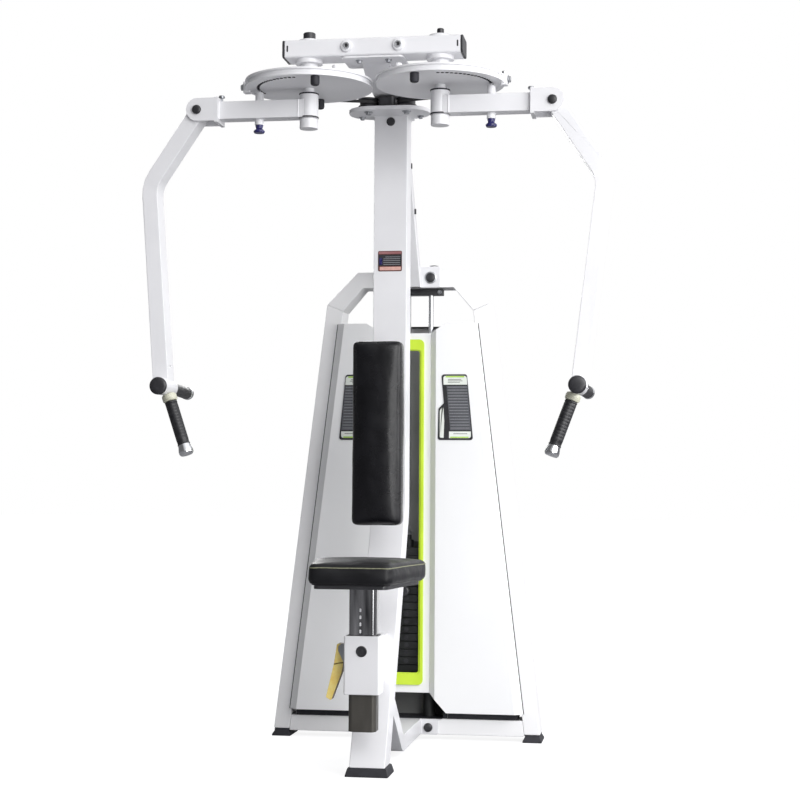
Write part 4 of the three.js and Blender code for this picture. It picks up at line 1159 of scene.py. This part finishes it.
def sleeve_trim():
    """The collar in the mouth of the sleeve, the plug in its front and a brown strip of painted shade
    along the fold of the lever.
    """
    low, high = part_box("seat_sleeve")
    post_low, post_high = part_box("seat_post")

    def round_post(grow):
        return rounded(post_low.x - grow, post_high.x + grow, post_low.y - grow, post_high.y + grow,
                       12 * MM)

    outer, inner = round_post(4.5 * MM), round_post(0.5 * MM)
    bottom, top = high.z - 4 * MM, high.z + 1.8 * MM
    liner = Shape().stacked([(outer, bottom), (outer, top), (inner, top), (inner, bottom)], closed=True)
    liner.piece("sleeve_liner", PLASTIC, "frame", "black_plastic", 0.5 * MM)
    profile = [(0, 0), (15, 0), (15, 1.4), (13.2, 2.4), (12, 1.0), (6, 0.6), (5, 1.8), (0, 2)]
    plug = Shape().turned(profile, (0, low.y, 352 * MM), (0, -1, 0), 32)
    plug.piece("sleeve_plug", PLASTIC, "frame", "black_plastic")
    lever_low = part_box("seat_lever")[0]
    fold = Shape().prism(mm([(-85.2, 313), (-58.2, 318), (-58.4, 314), (-71, 313), (-84.4, 309)]),
                         lever_low.y - 0.35 * MM, lever_low.y + 1 * MM, "XZ")
    fold.piece("lever_fold_shade", FOLD_SHADE_BROWN, "seat_lever", "yellow_paint")


# ---------------------------------------------------------------- welds
def weld(shape, path, radius=2.0 * MM, closed=False, up=(0, 0, 1)):
    """A rippled bead along a path."""
    path = [Vector(p) for p in path]
    fine = []
    count = len(path) if closed else len(path) - 1
    for i in range(count):
        start, stop = path[i], path[(i + 1) % len(path)]
        steps = max(1, round((stop - start).length / (2.4 * MM)))
        fine += [start.lerp(stop, k / steps) for k in range(steps)]
    if not closed:
        fine.append(path[-1])
    rings = []
    for i, (point, side, over) in enumerate(stations(fine, up, closed)):
        size = radius * (1.0 if i % 2 else 0.8)
        rings.append([point + side * a + over * b for a, b in circle(size, 8)])
    shape.rings(rings, closed)


def welds():
    """Beads where plates and tubes meet."""
    beads = Shape()
    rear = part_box("mast_tube")[1].y
    top = [(-MAST_HALF, MAST_FRONT), (MAST_HALF, MAST_FRONT), (MAST_HALF, rear), (-MAST_HALF, rear)]
    weld(beads, [(x, y, FLANGE_LOW.z - 0.8 * MM) for x, y in top], 2.6 * MM, closed=True)
    for side in (-1, 1):
        weld(beads, [(side * 40 * MM, 62 * MM, FLANGE_HIGH.z + 1.4 * MM),
                     (side * 40 * MM, 120 * MM, FLANGE_HIGH.z + 1.4 * MM)], 2.4 * MM)
    beads.piece("frame_welds", WHITE, "frame", "white_paint")
    for label, side in SIDES:
        arm = Shape()
        front = PIVOT_Y - 25 * MM
        for x, radius in ((PIVOT_X + 26.5 * MM, 2.4 * MM), (444 * MM, 2.2 * MM)):
            upright = [(side * x, front, ARM_Z - 25 * MM), (side * x, front, ARM_Z + 25 * MM)]
            weld(arm, upright, radius, up=(1, 0, 0))
        arm.piece(f"arm_welds_{label}", WHITE, f"arm_{label}", "white_paint")


# ---------------------------------------------------------------- studio
def studio_floor():
    """A matt floor that bounces little light but looks as white as the backdrop."""
    size = 30.0
    mesh = bpy.data.meshes.new("studio_floor")
    corners = [(-size, -size, 0), (size, -size, 0), (size, size, 0), (-size, size, 0)]
    mesh.from_pydata(corners, [], [(0, 1, 2, 3)])
    floor = placed("studio_floor", mesh)
    paper = bpy.data.materials.new("studio_paper")
    paper.use_nodes = True
    nodes, links = paper.node_tree.nodes, paper.node_tree.links
    nodes.remove(nodes["Principled BSDF"])
    matt = nodes.new("ShaderNodeBsdfDiffuse")
    matt.inputs["Color"].default_value = (0.26, 0.26, 0.27, 1)
    glow = nodes.new("ShaderNodeEmission")
    glow.inputs["Strength"].default_value = 0.86
    bright = nodes.new("ShaderNodeAddShader")
    links.new(matt.outputs["BSDF"], bright.inputs[0])
    links.new(glow.outputs["Emission"], bright.inputs[1])
    shown = shown_to_camera(nodes, links, matt.outputs["BSDF"], bright.outputs["Shader"])
    links.new(shown, nodes["Material Output"].inputs["Surface"])
    mesh.materials.append(paper)


def studio_world():
    """A white backdrop, with light that comes mostly from the right, the front and above."""
    world = bpy.data.worlds.new("studio_world")
    bpy.context.scene.world = world
    world.use_nodes = True
    nodes, links = world.node_tree.nodes, world.node_tree.links
    seen = nodes["Background"]
    seen.inputs["Color"].default_value = (1, 1, 1, 1)
    seen.inputs["Strength"].default_value = 1.0
    light = nodes.new("ShaderNodeBackground")
    light.inputs["Color"].default_value = (0.985, 0.985, 1.0, 1)
    place = nodes.new("ShaderNodeTexCoord")
    toward = nodes.new("ShaderNodeVectorMath")
    toward.operation = "DOT_PRODUCT"
    toward.inputs[1].default_value = Vector((0.86, -0.14, 0.49)).normalized()
    links.new(place.outputs["Generated"], toward.inputs[0])
    strength = ranged(nodes, links, toward.outputs["Value"], 0.17, 1.62, -0.05, 0.95)
    links.new(strength, light.inputs["Strength"])
    shown = shown_to_camera(nodes, links, light.outputs["Background"], seen.outputs["Background"])
    links.new(shown, nodes["World Output"].inputs["Surface"])


def studio():
    """Floor, world, a soft key light from the right and weaker lights round the machine."""
    studio_floor()
    studio_world()
    area_light("key_light", (2.9, -3.1, 2.1), (0.0, 0.1, 1.0), 2.6, 84)
    area_light("front_fill", (1.7, -4.2, 3.0), (-0.3, 0.3, 0.8), 1.6, 26)
    area_light("back_light", (-1.4, 4.8, 2.8), (0.0, 0.3, 1.0), 2.2, 85)
    area_light("tower_fill", (1.6, -0.32, 1.3), (-0.25, 0.42, 0.6), 0.9, 11)
    area_light("low_fill", (1.9, -3.9, 0.4), (-0.1, 0.4, 0.6), 1.0, 20)
    bpy.context.scene.view_settings.view_transform = "Standard"


def area_light(name, spot, target, size, power):
    """A square soft light at a spot, aimed at a target."""
    data = bpy.data.lights.new(name, "AREA")
    data.shape = "SQUARE"
    data.size = size
    data.energy = power
    light = placed(name, data)
    light.location = spot
    aim = Vector(target) - Vector(spot)
    light.rotation_mode = "QUATERNION"
    light.rotation_quaternion = aim.to_track_quat("-Z", "Y")


def camera():
    """A long lens a little right of centre, just above seat height, looking slightly up."""
    yaw, pitch, roll = (math.radians(angle) for angle in (-9.0, 2.69, 0.33))
    forward = Vector((math.sin(yaw) * math.cos(pitch), math.cos(yaw) * math.cos(pitch), math.sin(pitch)))
    right = Vector((math.cos(yaw), -math.sin(yaw), 0))
    up = right.cross(forward)
    across = right * math.cos(roll) + up * math.sin(roll)
    upright = up * math.cos(roll) - right * math.sin(roll)
    data = bpy.data.cameras.new("studio_camera")
    data.lens = 76.2
    data.sensor_width = 36.0
    data.clip_start = 0.05
    data.clip_end = 100.0
    lens = placed("studio_camera", data)
    turn = Matrix((across, upright, -forward)).transposed().to_4x4()
    lens.matrix_world = Matrix.Translation((0.8177, -4.9052, 0.8160)) @ turn
    bpy.context.scene.camera = lens


dress_frame()
beam_trim()
flange_trim()
mast_plate()
tower_caps()
top_guide()
rear_fixings()
shroud()
window_lip()
cover_gap_shades()
belts()
tower_cable()
disc_trim()
arm_trim()
grips()
plate_row("resting_plate_row", "resting_plates", "frame", 9)
plate_row("lifted_plate_row", "lifted_plates", "weight_stack", 5)
lift_cable()
placards()
seat_cushion()
backrest_cushion()
seat_post()
sleeve_trim()
welds()
camera()
studio()
